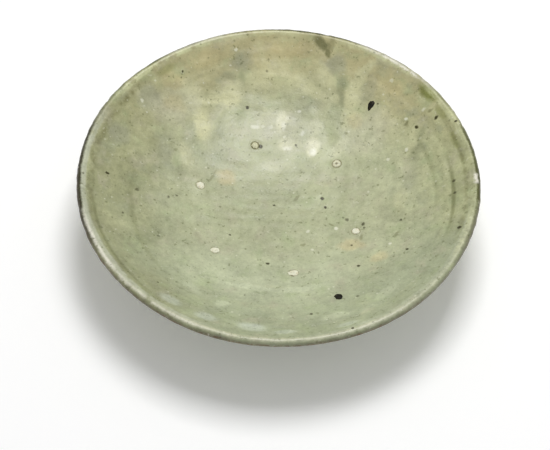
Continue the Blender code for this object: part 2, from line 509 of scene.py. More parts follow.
@dataclass(frozen=True)
class LipChip:
    """A small chip out of the lip: its angle, its distance outside the crest, and its size."""

    degrees: float
    beyond: float
    length: float
    width: float
    depth: float

    def lift(self, angles: Array, from_crest: Array, rim: float) -> Array:
        """Depth of the chip, below nought: a steep bell over the distances along and across the lip.

        Args:
            angles: angle of each step.
            from_crest: distance of each row outside the crest of the lip.
            rim: radius of the rim.

        Returns:
            Heights by row and step.
        """
        along = rim * past_bearing(angles, self.degrees) / self.length
        across = (from_crest - self.beyond) / self.width
        return -self.depth * np.exp(-((along**2 + across**2) ** 2))


class Field(Enum):
    """The rolling fields, each with the seed of its own waves."""

    BROAD = 3
    SWELL = 5
    DIMPLE = 7
    RIPPLE_DRIFT = 17
    RIPPLE_STRENGTH = 19
    FINE_WEAR = 23
    COARSE_WEAR = 29
    CLAY_GRIT = 31
    FOOT_WEAR = 37
    EDGE_WAVE = 41
    EDGE_RIPPLE = 43


@dataclass(frozen=True)
class PottersHand:
    """How the thrown dish strays from a true turned form. All its waves are seeded."""

    swell_length: float = 11 * MM
    swell_height: float = 0.08 * MM
    dimple_length: float = 5.5 * MM
    dimple_height: float = 0.035 * MM
    broad_length: float = 34 * MM
    broad_height: float = 0.12 * MM
    ripple_pitch: float = 3.3 * MM
    ripple_height: float = 0.007 * MM
    ripple_drift: float = 0.7
    drift_length: float = 30 * MM
    strength_length: float = 24 * MM
    strength_mean: float = 0.8
    strength_spread: float = 0.35
    strength_limits: Span = (0.1, 1.6)
    fine_wear_length: float = 1.9 * MM
    fine_wear_height: float = 0.02 * MM
    coarse_wear_length: float = 5 * MM
    coarse_wear_height: float = 0.04 * MM
    wear_middle: float = 2.2 * MM
    wear_width: float = 2.4 * MM
    waves: int = 18
    wave_lengths: Span = (0.7, 1.5)
    rim_lobes: Tuple[Tuple[int, float, float], ...] = (
        (2, 0.08 * MM, -56),
        (3, 0.13 * MM, 123),
        (7, 0.10 * MM, -27),
    )
    inside_rings: Tuple[ThrowingRing, ...] = (
        ThrowingRing(69.3 * MM, 0.8 * MM, -0.07 * MM, 12, 15),
        ThrowingRing(67.5 * MM, 1.0 * MM, 0.07 * MM, -8, 34),
        ThrowingRing(65.5 * MM, 1.3 * MM, -0.13 * MM, -2, 17),
        ThrowingRing(63.0 * MM, 1.5 * MM, 0.11 * MM, 0, 26),
        ThrowingRing(59.5 * MM, 1.5 * MM, -0.07 * MM, 14, 26),
        ThrowingRing(56.0 * MM, 1.8 * MM, 0.07 * MM, 8, 30),
        ThrowingRing(68.6 * MM, 0.8 * MM, -0.10 * MM, -152, 26),
        ThrowingRing(62.0 * MM, 1.2 * MM, 0.07 * MM, 175, 45),
        ThrowingRing(55.0 * MM, 1.5 * MM, -0.06 * MM, -165, 40),
        ThrowingRing(39.0 * MM, 1.8 * MM, 0.07 * MM, -92, 45),
        ThrowingRing(21.0 * MM, 1.5 * MM, 0.03 * MM, -60, 90),
    )
    lip_chips: Tuple[LipChip, ...] = (
        LipChip(-104.5, 2.3 * MM, 1.5 * MM, 1.0 * MM, 0.45 * MM),
        LipChip(2.0, 0.9 * MM, 1.3 * MM, 0.9 * MM, 0.40 * MM),
        LipChip(-121.0, 2.8 * MM, 1.0 * MM, 0.8 * MM, 0.30 * MM),
        LipChip(-63.0, 2.6 * MM, 1.3 * MM, 0.8 * MM, 0.28 * MM),
        LipChip(-146.0, 2.2 * MM, 1.1 * MM, 0.7 * MM, 0.28 * MM),
        LipChip(-33.0, 2.4 * MM, 0.9 * MM, 0.8 * MM, 0.30 * MM),
        LipChip(77.0, 1.2 * MM, 1.4 * MM, 0.8 * MM, 0.25 * MM),
        LipChip(152.0, 1.8 * MM, 1.1 * MM, 0.8 * MM, 0.30 * MM),
    )

    def rolling(self, points: Array, length: float, field: Field) -> Array:
        """A rolling field of about -2 to 2: a sum of cosine waves with random headings, lengths and starts.

        Args:
            points: places, with x, y and z last.
            length: typical length of a wave.
            field: which field.

        Returns:
            The field's value at each place, with a spread of one.
        """
        chance = np.random.default_rng(field.value)
        heading = chance.normal(size=(3, self.waves))
        heading /= np.linalg.norm(heading, axis=0)
        heading *= 2 * math.pi / (length * chance.uniform(*self.wave_lengths, self.waves))
        start = chance.uniform(0, 2 * math.pi, self.waves)
        return np.cos(points @ heading + start).sum(axis=-1) * math.sqrt(2 / self.waves)

    def sway(self, angles: Array, share: Array) -> Array:
        """How far the wall stands out of true: a sum of lobes round the rim, which grow with the height.

        Args:
            angles: angle of each step.
            share: radius of each place as a share of the rim's.

        Returns:
            What each radius grows by: the lobes' cosines times the fourth power of the share.
        """
        lobes = [reach * np.cos(count * angles - math.radians(turn)) for count, reach, turn in self.rim_lobes]
        return np.sum(lobes, axis=0) * share**4

    def swell(self, points: Array) -> Array:
        """Unevenness of both coats: the sum of three rolling fields, of long, middling and short waves.

        Args:
            points: places, with x, y and z last.

        Returns:
            The height at each place.
        """
        broad = self.broad_height * self.rolling(points, self.broad_length, Field.BROAD)
        middling = self.swell_height * self.rolling(points, self.swell_length, Field.SWELL)
        dimples = self.dimple_height * self.rolling(points, self.dimple_length, Field.DIMPLE)
        return broad + middling + dimples

    def ripples(self, angles: Array, radii: Array, points: Array, pitch: float, height: float) -> Array:
        """Throwing ripples: a cosine spiral that gains one pitch a turn and fades in and out at random.

        Args:
            angles: angle of each step.
            radii: distance of each place from the axis.
            points: the places themselves, for the fading.
            pitch: distance between ripples.
            height: height of a ripple.

        Returns:
            Heights by row and step.
        """
        drift = self.ripple_drift * self.rolling(points, self.drift_length, Field.RIPPLE_DRIFT)
        phase = 2 * math.pi * radii / pitch - angles + drift
        spread = self.strength_spread * self.rolling(points, self.strength_length, Field.RIPPLE_STRENGTH)
        strength = np.clip(self.strength_mean + spread, *self.strength_limits)
        return height * strength * np.cos(phase)

    def lip_wear(self, angles: Array, from_crest: Array, points: Array, rim: float) -> Array:
        """Chips and a rough feel along the lip, strongest on its outer round.

        Args:
            angles: angle of each step.
            from_crest: distance of each row outside the crest of the lip.
            points: the places themselves.
            rim: radius of the rim.

        Returns:
            Heights by row and step: the chips, and two rolling fields times a bell over the outer round.
        """
        chips = np.sum([chip.lift(angles, from_crest, rim) for chip in self.lip_chips], axis=0)
        fine = self.fine_wear_height * self.rolling(points, self.fine_wear_length, Field.FINE_WEAR)
        coarse = self.coarse_wear_height * self.rolling(points, self.coarse_wear_length, Field.COARSE_WEAR)
        return chips + (fine + coarse) * bell(from_crest - self.wear_middle, self.wear_width)


class Wire:
    """A value in a finish: one output socket of a node, with the arithmetic that finishes use."""

    def __init__(self, bench: "Bench", socket: bpy.types.NodeSocket) -> None:
        """Hold a socket and the bench that it is on."""
        self.bench = bench
        self.socket = socket

    def __add__(self, other: Value) -> "Wire":
        """Sum of two values."""
        return self.bench.math("ADD", self, other)

    def __radd__(self, other: Value) -> "Wire":
        """Sum with a number on the left."""
        return self.bench.math("ADD", other, self)

    def __sub__(self, other: Value) -> "Wire":
        """This value less another."""
        return self.bench.math("SUBTRACT", self, other)

    def __rsub__(self, other: Value) -> "Wire":
        """A number less this value."""
        return self.bench.math("SUBTRACT", other, self)

    def __mul__(self, other: Value) -> "Wire":
        """Product of two values."""
        return self.bench.math("MULTIPLY", self, other)

    def __rmul__(self, other: Value) -> "Wire":
        """Product with a number on the left."""
        return self.bench.math("MULTIPLY", other, self)

    def __truediv__(self, other: Value) -> "Wire":
        """This value over another."""
        return self.bench.math("DIVIDE", self, other)

    def __pow__(self, other: Value) -> "Wire":
        """This value to a power."""
        return self.bench.math("POWER", self, other)

    def fade(self, start: float, end: float) -> "Wire":
        """Smooth step from 0 where this value is start to 1 where it is end.

        Args:
            start: value where the step begins.
            end: value where it ends, which may be the smaller of the two.

        Returns:
            The step, which keeps within 0 and 1 of itself and so needs no clamp.
        """
        settings = {"interpolation_type": "SMOOTHSTEP", "clamp": False}
        inputs = {"Value": self, "From Min": start, "From Max": end}
        return self.bench.wire("ShaderNodeMapRange", settings, inputs)

    def band(self, middle: float, half: float) -> "Wire":
        """Soft band: 1 where this value is the middle, falling to 0 at half a width to either side."""
        return self.bench.math("ABSOLUTE", self - middle).fade(half, 0.0)

    def shelf(self, middle: float, half: float, full: float = 0.7) -> "Wire":
        """A band with a broad top, which is 1 wherever the soft band is over the given height."""
        return self.band(middle, half).fade(0.0, full)


class Bench:
    """The node tree of one material, where a finish makes its nodes and wires them."""

    MIX_FACTOR, MIX_A, MIX_B, MIX_RESULT = 0, 6, 7, 2

    def __init__(self, name: str) -> None:
        """Start an empty material.

        Args:
            name: name of the material.
        """
        self.material = bpy.data.materials.new(name)
        self.material.use_nodes = True
        self.tree = self.material.node_tree
        self.tree.nodes.clear()

    def node(
        self,
        kind: str,
        settings: Optional[Mapping[str, Any]] = None,
        inputs: Optional[Mapping[Union[str, int], Any]] = None,
    ) -> bpy.types.Node:
        """Make any node.

        Args:
            kind: type of the node.
            settings: its properties, which are set first.
            inputs: a value or a wire for each of its sockets, by name or by number.

        Returns:
            The node.
        """
        made = self.tree.nodes.new(kind)
        for name, setting in (settings or {}).items():
            setattr(made, name, setting)
        for key, value in (inputs or {}).items():
            socket = made.inputs[key]
            if isinstance(value, Wire):
                self.tree.links.new(value.socket, socket)
            elif socket.type == "RGBA":
                socket.default_value = (*value, 1.0)
            else:
                socket.default_value = value
        return made

    def wire(
        self,
        kind: str,
        settings: Optional[Mapping[str, Any]] = None,
        inputs: Optional[Mapping[Union[str, int], Any]] = None,
        output: Union[str, int] = 0,
    ) -> Wire:
        """Make any node.

        Args:
            kind, settings, inputs: as those of node.
            output: which output, by name or by number.

        Returns:
            The wire of that output.
        """
        return Wire(self, self.node(kind, settings, inputs).outputs[output])

    def math(self, operation: str, *values: Value) -> Wire:
        """A Math node on one to three values."""
        return self.wire("ShaderNodeMath", {"operation": operation}, dict(enumerate(values)))

    def vector(self, operation: str, *vectors: Union[Wire, Colour], **named: Value) -> Wire:
        """A Vector Math node.

        Args:
            operation: what it does.
            vectors: the vectors that it takes, in order.
            named: a scale by its name, where the operation takes one.

        Returns:
            The result, a number for a distance or a length and otherwise a vector.
        """
        inputs = {**dict(enumerate(vectors)), **named}
        output = "Value" if operation in ("DISTANCE", "LENGTH") else "Vector"
        return self.wire("ShaderNodeVectorMath", {"operation": operation}, inputs, output)

    def mix(self, factor: Value, first: Union[Wire, Colour], second: Union[Wire, Colour]) -> Wire:
        """A colour between two, by a factor."""
        inputs = {self.MIX_FACTOR: factor, self.MIX_A: first, self.MIX_B: second}
        return self.wire("ShaderNodeMix", {"data_type": "RGBA"}, inputs, self.MIX_RESULT)

    def place(self) -> Wire:
        """Object coordinates in millimetres."""
        return self.vector("SCALE", self.wire("ShaderNodeTexCoord", output="Object"), Scale=1 / MM)

    def parts(self, vector: Wire) -> Tuple[Wire, Wire, Wire]:
        """The three parts of a vector."""
        split = self.node("ShaderNodeSeparateXYZ", None, {0: vector})
        return tuple(Wire(self, output) for output in split.outputs)

    def stored(self, name: str) -> Wire:
        """A value that was stored at the points of the piece."""
        return self.wire("ShaderNodeAttribute", {"attribute_name": name}, None, "Fac")

    def drum(self, x: Wire, y: Wire, radius: Wire, girth: float, height: Wire) -> Wire:
        """Coordinates on a drum round the axis, for streaks and lines that run along its bearing.

        Args:
            x, y, radius: parts of a place, and its distance from the axis.
            girth: radius of the drum: the larger it is, the shorter the streaks are.
            height: where the place is along the drum.

        Returns:
            The coordinates.
        """
        inputs = {0: girth * x / radius, 1: girth * y / radius, 2: height}
        return self.wire("ShaderNodeCombineXYZ", None, inputs)

    def noise(
        self, place: Wire, size: float, detail: float = 3.0, rough: float = 0.6, shift: float = 0.0
    ) -> Wire:
        """Noise whose lumps are about a size across.

        Args:
            place: coordinates.
            size: size of a lump, in the coordinates' unit.
            detail: how many finer layers are added.
            rough: share of each finer layer.
            shift: how far along all axes the pattern is read, so that fields differ.

        Returns:
            A value about 0.5, from 0 to 1.
        """
        moved = self.vector("ADD", place, (shift, shift, shift)) if shift else place
        inputs = {"Vector": moved, "Scale": 1 / size, "Detail": detail, "Roughness": rough}
        return self.wire("ShaderNodeTexNoise", None, inputs, "Fac")

    def cells(self, place: Wire, size: float, shift: float) -> Tuple[Wire, Wire]:
        """Scattered points, about one in each cell of a size.

        Args:
            place: coordinates.
            size: size of a cell, in the coordinates' unit.
            shift: how far along all axes the pattern is read.

        Returns:
            Distance to the nearest point, in the same unit, and that point's own chance from 0 to 1.
        """
        moved = self.vector("ADD", place, (shift, shift, shift))
        found = self.node("ShaderNodeTexVoronoi", None, {"Vector": moved, "Scale": 1 / size})
        chance = self.wire("ShaderNodeSeparateColor", None, {0: Wire(self, found.outputs["Color"])})
        return Wire(self, found.outputs["Distance"]) * size, chance

    def scatter(self, place: Wire, size: float, share: float, radius: float, shift: float) -> Wire:
        """Dots strewn over a surface.

        Args:
            place: coordinates.
            size: size of the cells that hold a dot at most.
            share: share of the cells that do.
            radius: radius of the largest dots, which soften over half of it.
            shift: how far along all axes the pattern is read.

        Returns:
            1 inside a dot and 0 outside.
        """
        distance, chance = self.cells(place, size, shift)
        reach = radius * (1 - chance / share)
        half_soft = 0.25 * radius
        return (reach - distance).fade(-half_soft, half_soft)

    def most(self, values: Iterable[Wire]) -> Wire:
        """The largest of several values, each of which is made only when its turn comes.

        Args:
            values: the values. A shader holds few at once if this is a generator.

        Returns:
            The largest.
        """
        return reduce(lambda largest, value: self.math("MAXIMUM", largest, value), values)

    def finish(self, colour: Wire, roughness: Wire, bumps: Wire, depth: float, shine: float) -> Finish:
        """Close the material with a shader.

        Args:
            colour: base colour.
            roughness: roughness.
            bumps: height of the fine relief, from 0 to 1.
            depth: what a height of 1 measures, in metres.
            shine: how strongly the surface mirrors, where 0.5 is that of glass.

        Returns:
            The material.
        """
        normal = self.wire("ShaderNodeBump", None, {"Height": bumps, "Distance": depth, "Strength": 1.0})
        inputs = {"Base Color": colour, "Roughness": roughness, "Normal": normal, "Specular IOR Level": shine}
        shader = self.wire("ShaderNodeBsdfPrincipled", None, inputs)
        self.node("ShaderNodeOutputMaterial", None, {"Surface": shader})
        return self.material


class Face(Enum):
    """Which side of the dish a coat of glaze is on."""

    INSIDE = "inside"
    OUTSIDE = "outside"


class Stray(Enum):
    """How far patches in the glaze stray from their true outlines: size of the noise and its reach, in mm."""

    FINE = (1.4, 1.4)
    WIDE = (8.0, 5.5)

    @property
    def size(self) -> float:
        """Size of a lump of the noise."""
        return self.value[0]

    @property
    def reach(self) -> float:
        """How far the noise moves a place from one extreme to the other."""
        return self.value[1]


@dataclass(frozen=True)
class Bloom:
    """A soft patch in the glaze: middle and half lengths in mm, turn in degrees, strength and fading brim."""

    x: float
    y: float
    along: float
    across: float
    turn: float
    strength: float
    brim: float = 0.6

    def cover(self, bench: Bench, flat: Wire) -> Wire:
        """How strongly the patch covers a place: it fades over the outer part of its oval.

        Args:
            bench: the material's bench.
            flat: strayed coordinates in the plane of the rim.

        Returns:
            The cover, from 0 outside the oval to the patch's strength.
        """
        inputs = {
            "Vector": flat,
            "Location": (self.x, self.y, 0.0),
            "Rotation": (0.0, 0.0, math.radians(self.turn)),
            "Scale": (self.along, self.across, 1.0),
        }
        local = bench.wire("ShaderNodeMapping", {"vector_type": "TEXTURE"}, inputs)
        ball = bench.wire("ShaderNodeTexGradient", {"gradient_type": "SPHERICAL"}, {"Vector": local}, "Fac")
        return ball.fade(0.0, self.brim) * self.strength


@dataclass(frozen=True)
class Fleck:
    """A small round speck or grain in the glaze: its middle and radius in mm, strength and fading brim."""

    x: float
    y: float
    radius: float
    strength: float = 1.0
    brim: Span = (1.25, 0.6)

    def cover(self, bench: Bench, flat: Wire) -> Wire:
        """How strongly the fleck covers a place: it fades from inside its radius to just beyond it."""
        away = bench.vector("DISTANCE", flat, (self.x, self.y, 0.0))
        return away.fade(*(share * self.radius for share in self.brim)) * self.strength


@dataclass(frozen=True)
class RimArc:
    """A stretch of the lip: its middle and half its length in degrees, its strength and its fading ends."""

    middle: float
    half: float
    strength: float
    ends: Span = (1.3, 0.6)

    def cover(self, east: Wire, north: Wire) -> Wire:
        """How strongly the stretch covers a bearing.

        Args:
            east, north: cosine and sine of the bearing.

        Returns:
            The cover, from 0 outside the stretch to its strength.
        """
        turn = math.radians(self.middle)
        match = math.cos(turn) * east + math.sin(turn) * north
        start, full = (math.cos(math.radians(share * self.half)) for share in self.ends)
        return match.fade(start, full) * self.strength


@dataclass(frozen=True)
class Tinge:
    """Soft patches of one tint in the glaze, and how far their outlines stray."""

    tint: Colour
    stray: Stray
    blooms: Tuple[Bloom, ...]

    def laid(self, bench: Bench, flats: Mapping[Stray, Wire], colour: Wire) -> Wire:
        """The colour with these patches laid over it."""
        cover = bench.most(bloom.cover(bench, flats[self.stray]) for bloom in self.blooms)
        return bench.mix(cover, colour, self.tint)


@dataclass(frozen=True)
class AshGlaze:
    """Green ash glaze: sage in the well, olive and tan up the wall, with runs, flushes, specks and grains,
    and with painted highlights, reflections and shade.
    """

    middle: Colour = srgb(175, 179, 144)
    sage: Colour = srgb(179, 183, 147)
    near_sage: Colour = srgb(190, 196, 164)
    near_green: Colour = srgb(164, 171, 140)
    right_sage: Colour = srgb(190, 193, 157)
    # Painted shade on the left wall, over its darker olive glaze.
    left_olive_shade: Colour = srgb(160, 163, 130)
    olive: Colour = srgb(168, 171, 128)
    # Painted shade on the left wall, over its darker olive glaze.
    shade_olive: Colour = srgb(152, 153, 116)
    tan: Colour = srgb(192, 183, 139)
    cream: Colour = srgb(202, 202, 160)
    slate: Colour = srgb(152, 157, 130)
    moss: Colour = srgb(166, 178, 134)
    drab: Colour = srgb(182, 178, 152)
    dark_olive: Colour = srgb(112, 115, 72)
    lip_grey: Colour = srgb(190, 193, 170)
    lip_cream: Colour = srgb(214, 211, 174)
    lip_green: Colour = srgb(208, 211, 166)
    lip_white: Colour = srgb(232, 229, 212)
    lip_olive: Colour = srgb(112, 110, 66)
    rim_olive: Colour = srgb(92, 96, 44)
    # These two colours paint shade on the outer round of the lip.
    edge: Colour = srgb(56, 55, 32)
    painted_shade_brown: Colour = srgb(84, 66, 38)
    clay: Colour = srgb(112, 84, 54)
    stain: Colour = srgb(112, 98, 62)
    speck: Colour = srgb(50, 46, 6)
    fleck: Colour = srgb(98, 102, 62)
    # Pale grains, and painted glints in the highlight.
    grain_and_glint: Colour = srgb(226, 227, 204)
    roughness: float = 0.33
    shine: float = 0.33
    relief: float = 0.16 * MM
    speck_cover: float = 0.94
    grain_and_glint_cover: float = 0.85
    tinges: Tuple[Tinge, ...] = (
        Tinge(srgb(158, 160, 134), Stray.WIDE, (
            Bloom(21.0, 61.0, 6.0, 4.5, 0, 0.65), Bloom(-16.3, 61.5, 6.5, 4.5, 20, 0.55),
            Bloom(-51.0, 40.5, 7.0, 6.0, 50, 0.6), Bloom(-61.0, 22.0, 6.5, 5.5, 70, 0.6),
            Bloom(-44.0, 20.0, 9.0, 4.0, 110, 0.45), Bloom(10.0, 47.0, 8.0, 4.0, 10, 0.35),
            Bloom(33.0, 50.0, 7.0, 4.0, 70, 0.4), Bloom(50.0, 12.0, 10.0, 4.0, 80, 0.3),
            Bloom(-24.0, 24.0, 9.0, 6.0, 45, 0.28),
        )),
        Tinge(srgb(142, 146, 112), Stray.WIDE, (
            Bloom(23.2, 53.0, 8.0, 3.2, 82, 0.4), Bloom(23.6, 48.0, 5.0, 2.2, 85, 0.45),
            Bloom(-47.0, -20.0, 8.0, 5.0, 60, 0.45), Bloom(-38.0, 12.0, 7.0, 3.0, 60, 0.3),
            Bloom(-16.5, 53.0, 8.0, 2.4, 75, 0.35), Bloom(-24.0, 36.0, 7.0, 2.0, 95, 0.4),
            Bloom(52.0, 22.0, 6.0, 2.4, 70, 0.35), Bloom(54.0, 30.0, 4.0, 2.0, 40, 0.4),
        )),
        Tinge(srgb(207, 206, 163), Stray.WIDE, (
            Bloom(33.0, 58.2, 4.6, 3.0, 25, 0.7), Bloom(30.0, 54.4, 5.5, 3.6, 62, 0.8),
            Bloom(27.8, 48.0, 7.0, 4.2, 75, 0.75), Bloom(27.0, 40.5, 6.5, 4.6, 85, 0.55),
            Bloom(17.6, 56.0, 9.5, 3.6, -66, 0.55), Bloom(12.0, 53.0, 9.5, 3.8, -30, 0.55),
            Bloom(20.6, 48.6, 3.6, 2.6, -50, 0.5), Bloom(7.0, 57.0, 6.0, 3.6, 10, 0.45),
            Bloom(-19.6, 49.6, 7.0, 5.6, 60, 0.95), Bloom(-27.0, 45.6, 7.0, 2.6, 28, 0.85),
            Bloom(-30.2, 35.5, 9.5, 4.6, 100, 0.95), Bloom(-9.0, 56.0, 7.5, 5.0, 30, 0.45),
            Bloom(-36.0, 22.0, 9.0, 4.0, 100, 0.4), Bloom(50.5, 27.0, 6.0, 3.0, 75, 0.5),
            Bloom(46.0, 2.0, 8.0, 3.4, 80, 0.3),
        )),
        # Pale grey patches; the two round (0, 35) paint a sheen where the lamp's highlight falls.
        Tinge(srgb(198, 196, 168), Stray.WIDE, (
            Bloom(-1.0, 39.0, 15.0, 8.0, 0, 0.42), Bloom(7.0, 31.0, 12.0, 7.0, 0, 0.3),
            Bloom(34.0, 34.0, 13.0, 10.0, 45, 0.5), Bloom(-41.0, 41.0, 14.0, 9.0, 45, 0.4),
        )),
        # Painted highlight: pale patches in the well where the lamp's highlight falls, over paler glaze.
        Tinge(srgb(226, 225, 194), Stray.WIDE, (
            Bloom(0.6, 40.3, 3.2, 6.2, 0, 0.65), Bloom(12.4, 29.6, 3.6, 6.0, 10, 0.8),
            Bloom(2.4, 31.0, 4.6, 3.4, 0, 0.45), Bloom(-1.5, 21.0, 8.0, 3.4, 0, 0.25),
            Bloom(13.5, 37.5, 3.4, 4.0, -20, 0.35), Bloom(23.0, 29.0, 3.6, 7.0, -30, 0.4),
        )),
        # Painted glints: small bright spots in the highlight.
        Tinge(srgb(238, 238, 222), Stray.FINE, (
            Bloom(-9.9, 37.6, 2.4, 1.2, 0, 0.5), Bloom(-3.9, 37.8, 1.4, 1.0, 0, 0.4),
            Bloom(1.2, 38.6, 1.3, 2.6, 0, 0.45), Bloom(12.9, 27.6, 1.8, 2.2, 0, 0.75),
            Bloom(2.9, 29.0, 2.4, 1.4, 0, 0.4), Bloom(7.2, 44.6, 1.1, 0.8, 0, 0.5),
            Bloom(8.6, 35.6, 0.9, 1.8, 0, 0.5),
        )),
        Tinge(srgb(202, 208, 176), Stray.WIDE, (
            Bloom(-9.0, -39.5, 12.0, 2.4, -8, 0.6), Bloom(9.0, -39.5, 12.0, 2.4, 8, 0.6),
            Bloom(-19.5, -51.0, 4.0, 3.4, 0, 0.55), Bloom(22.0, -57.0, 10.0, 2.0, 20, 0.45),
            Bloom(-30.0, -44.0, 6.0, 3.0, -40, 0.35), Bloom(40.0, -46.0, 8.0, 2.4, 42, 0.35),
        )),
        Tinge(srgb(188, 176, 130), Stray.WIDE, (
            Bloom(-42.0, 41.0, 5.5, 5.0, 0, 0.35), Bloom(-42.5, 49.5, 6.0, 4.5, 0, 0.4),
            Bloom(2.0, 67.0, 12.0, 4.5, 0, 0.55), Bloom(-30.0, 60.0, 12.0, 4.0, 30, 0.45),
            Bloom(43.0, 50.0, 7.0, 4.0, -40, 0.4),
        )),
        Tinge(srgb(203, 191, 147), Stray.WIDE, (
            Bloom(28.0, -16.7, 6.5, 3.8, 0, 0.6), Bloom(38.2, -25.0, 4.4, 3.4, 0, 0.5),
            Bloom(-20.3, 14.5, 4.6, 5.4, 60, 0.65), Bloom(29.0, 39.5, 4.0, 4.0, 60, 0.35),
        )),
        # Painted reflections: pale patches on the near wall under the lip, where the glossy glaze mirrors the
        # light.
        Tinge(srgb(200, 207, 188), Stray.FINE, (
            Bloom(-37.2, -54.6, 6.0, 3.0, -34, 0.55), Bloom(-24.3, -61.4, 5.6, 3.2, -21, 0.6),
            Bloom(-8.0, -65.0, 7.0, 3.6, -7, 0.65), Bloom(4.0, -67.4, 5.4, 2.0, 3, 0.5),
            Bloom(26.0, -64.0, 5.4, 1.8, 22, 0.45),
        )),
        Tinge(srgb(122, 128, 62), Stray.FINE, (
            Bloom(56.4, 44.2, 7.0, 3.0, -50, 0.85), Bloom(61.5, 35.0, 5.0, 2.2, -60, 0.45),
            Bloom(66.0, 22.0, 6.0, 1.6, -72, 0.4), Bloom(-45.0, 53.0, 6.0, 1.8, 40, 0.35),
        )),
        Tinge(srgb(112, 112, 72), Stray.FINE, (
            Bloom(15.0, 68.6, 5.2, 2.3, -43, 0.85), Bloom(18.9, 67.9, 3.6, 2.0, 65, 0.45),
            Bloom(17.2, 67.4, 2.8, 2.4, 0, 0.6), Bloom(17.6, 65.5, 2.6, 1.6, -75, 0.8),
            Bloom(44.5, -14.5, 2.4, 1.0, 60, 0.5), Bloom(7.0, 6.4, 2.4, 0.9, 55, 0.55),
            Bloom(31.6, -13.4, 2.2, 0.9, 80, 0.5), Bloom(9.9, -16.2, 1.5, 0.9, 20, 0.5),
            Bloom(20.4, -6.3, 1.6, 0.7, 150, 0.5), Bloom(-25.4, 14.2, 4.6, 0.7, 65, 0.45),
            Bloom(57.2, 37.1, 1.4, 0.8, 20, 0.6), Bloom(48.4, 34.6, 1.5, 0.8, 40, 0.6),
            Bloom(25.4, 34.9, 1.1, 0.9, 0, 0.5), Bloom(-40.0, 23.0, 1.3, 0.8, 30, 0.5),
        )),
    )
    olive_line: Tuple[RimArc, ...] = (
        RimArc(176, 20, 0.55), RimArc(154, 15, 0.65), RimArc(215, 28, 0.2), RimArc(3, 22, 0.5),
    )
    # Painted highlight, partly: these stretches lighten the crest of the lip where it faces the lamp, over
    # thinner, paler glaze.
    pale_crest: Tuple[RimArc, ...] = (
        RimArc(181, 22, 0.8),
    )
    grey_crest: Tuple[RimArc, ...] = (
        RimArc(222, 28, 0.75), RimArc(-45, 34, 0.45),
    )
    green_crest: Tuple[RimArc, ...] = (
        RimArc(130, 18, 0.8), RimArc(99, 14, 0.5), RimArc(58, 13, 0.65), RimArc(28, 13, 0.6),
        RimArc(-15, 12, 0.5),
    )
    cream_rim: Tuple[RimArc, ...] = (
        RimArc(-92, 40, 0.35), RimArc(-40, 24, 0.2),
    )
    # Rubbed white on the edge of the lip, and a painted highlight along the lower left.
    rubbed_edge_and_highlight: Tuple[RimArc, ...] = (
        RimArc(207, 11, 0.85), RimArc(230, 22, 0.5), RimArc(-80, 28, 0.25), RimArc(1.5, 1.7, 1.0),
        RimArc(52, 14, 0.5), RimArc(118, 10, 0.3),
    )
    rubbed_crest: Tuple[RimArc, ...] = (
        RimArc(48.5, 4.0, 0.9), RimArc(55.0, 3.0, 0.9), RimArc(61.0, 3.0, 0.5), RimArc(1.5, 1.7, 0.8),
    )
    olive_rim: Tuple[RimArc, ...] = (
        RimArc(6, 16, 0.9), RimArc(44, 14, 0.65), RimArc(80, 14, 0.6), RimArc(125, 6, 0.6),
        RimArc(133, 3, 0.8),
    )
    # Painted shade on the outer round of the lip.
    dark_edge_shade: Tuple[RimArc, ...] = (
        RimArc(183, 24, 1.0), RimArc(154, 14, 0.5), RimArc(0, 26, 0.4), RimArc(76, 22, 0.85),
        RimArc(116, 30, 0.65),
    )
    # Painted shade, in brown, on the outer round of the near lip.
    low_edge_shade: Tuple[RimArc, ...] = (
        RimArc(-140, 50, 0.6), RimArc(-45, 45, 0.6),
    )
    bare_edge: Tuple[RimArc, ...] = (
        RimArc(-110, 75, 0.75), RimArc(205, 12, 0.9),
    )
    specks: Tuple[Fleck, ...] = (
        Fleck(-13.1, 45.1, 0.65), Fleck(-7.4, 29.3, 0.95), Fleck(-38.8, 53.9, 0.45),
        Fleck(-39.2, 51.8, 0.4, 0.6), Fleck(-64.2, 3.4, 0.7), Fleck(16.8, 6.2, 0.75),
        Fleck(18.0, 2.1, 0.55), Fleck(-1.6, 2.6, 0.5), Fleck(-41.4, 0.8, 0.6, 0.7),
        Fleck(-38.5, 2.4, 0.45, 0.7), Fleck(-53.0, 0.8, 0.7, 0.6), Fleck(-17.7, -13.0, 0.5, 0.8),
        Fleck(-3.1, -26.0, 0.65), Fleck(30.4, -28.1, 0.6), Fleck(26.2, -4.2, 0.8, 0.7),
        Fleck(24.9, -3.2, 0.5, 0.5), Fleck(32.2, -7.0, 0.7, 0.8), Fleck(32.6, -8.8, 0.5, 0.6),
        Fleck(66.6, -19.8, 0.75), Fleck(48.2, -23.4, 0.6), Fleck(46.3, -7.5, 0.45, 0.8),
        Fleck(-43.9, -19.4, 0.6, 0.5), Fleck(13.2, -55.3, 0.6), Fleck(30.0, -45.8, 0.65, 0.6),
        Fleck(6.2, 30.5, 0.5, 0.8), Fleck(65.6, 4.5, 0.65, 0.8), Fleck(65.8, -1.2, 0.65, 0.8),
        Fleck(66.6, 29.6, 0.55), Fleck(37.4, 44.5, 0.5, 0.8), Fleck(27.9, -17.2, 0.4, 0.8),
        Fleck(59.4, 33.7, 0.75), Fleck(52.2, 32.3, 0.7), Fleck(27.6, -67.3, 0.6, 0.8),
        Fleck(-11.2, -44.1, 0.45, 0.5), Fleck(-36.0, -42.3, 0.5, 0.5), Fleck(-6.0, 59.1, 0.45, 0.5),
    )
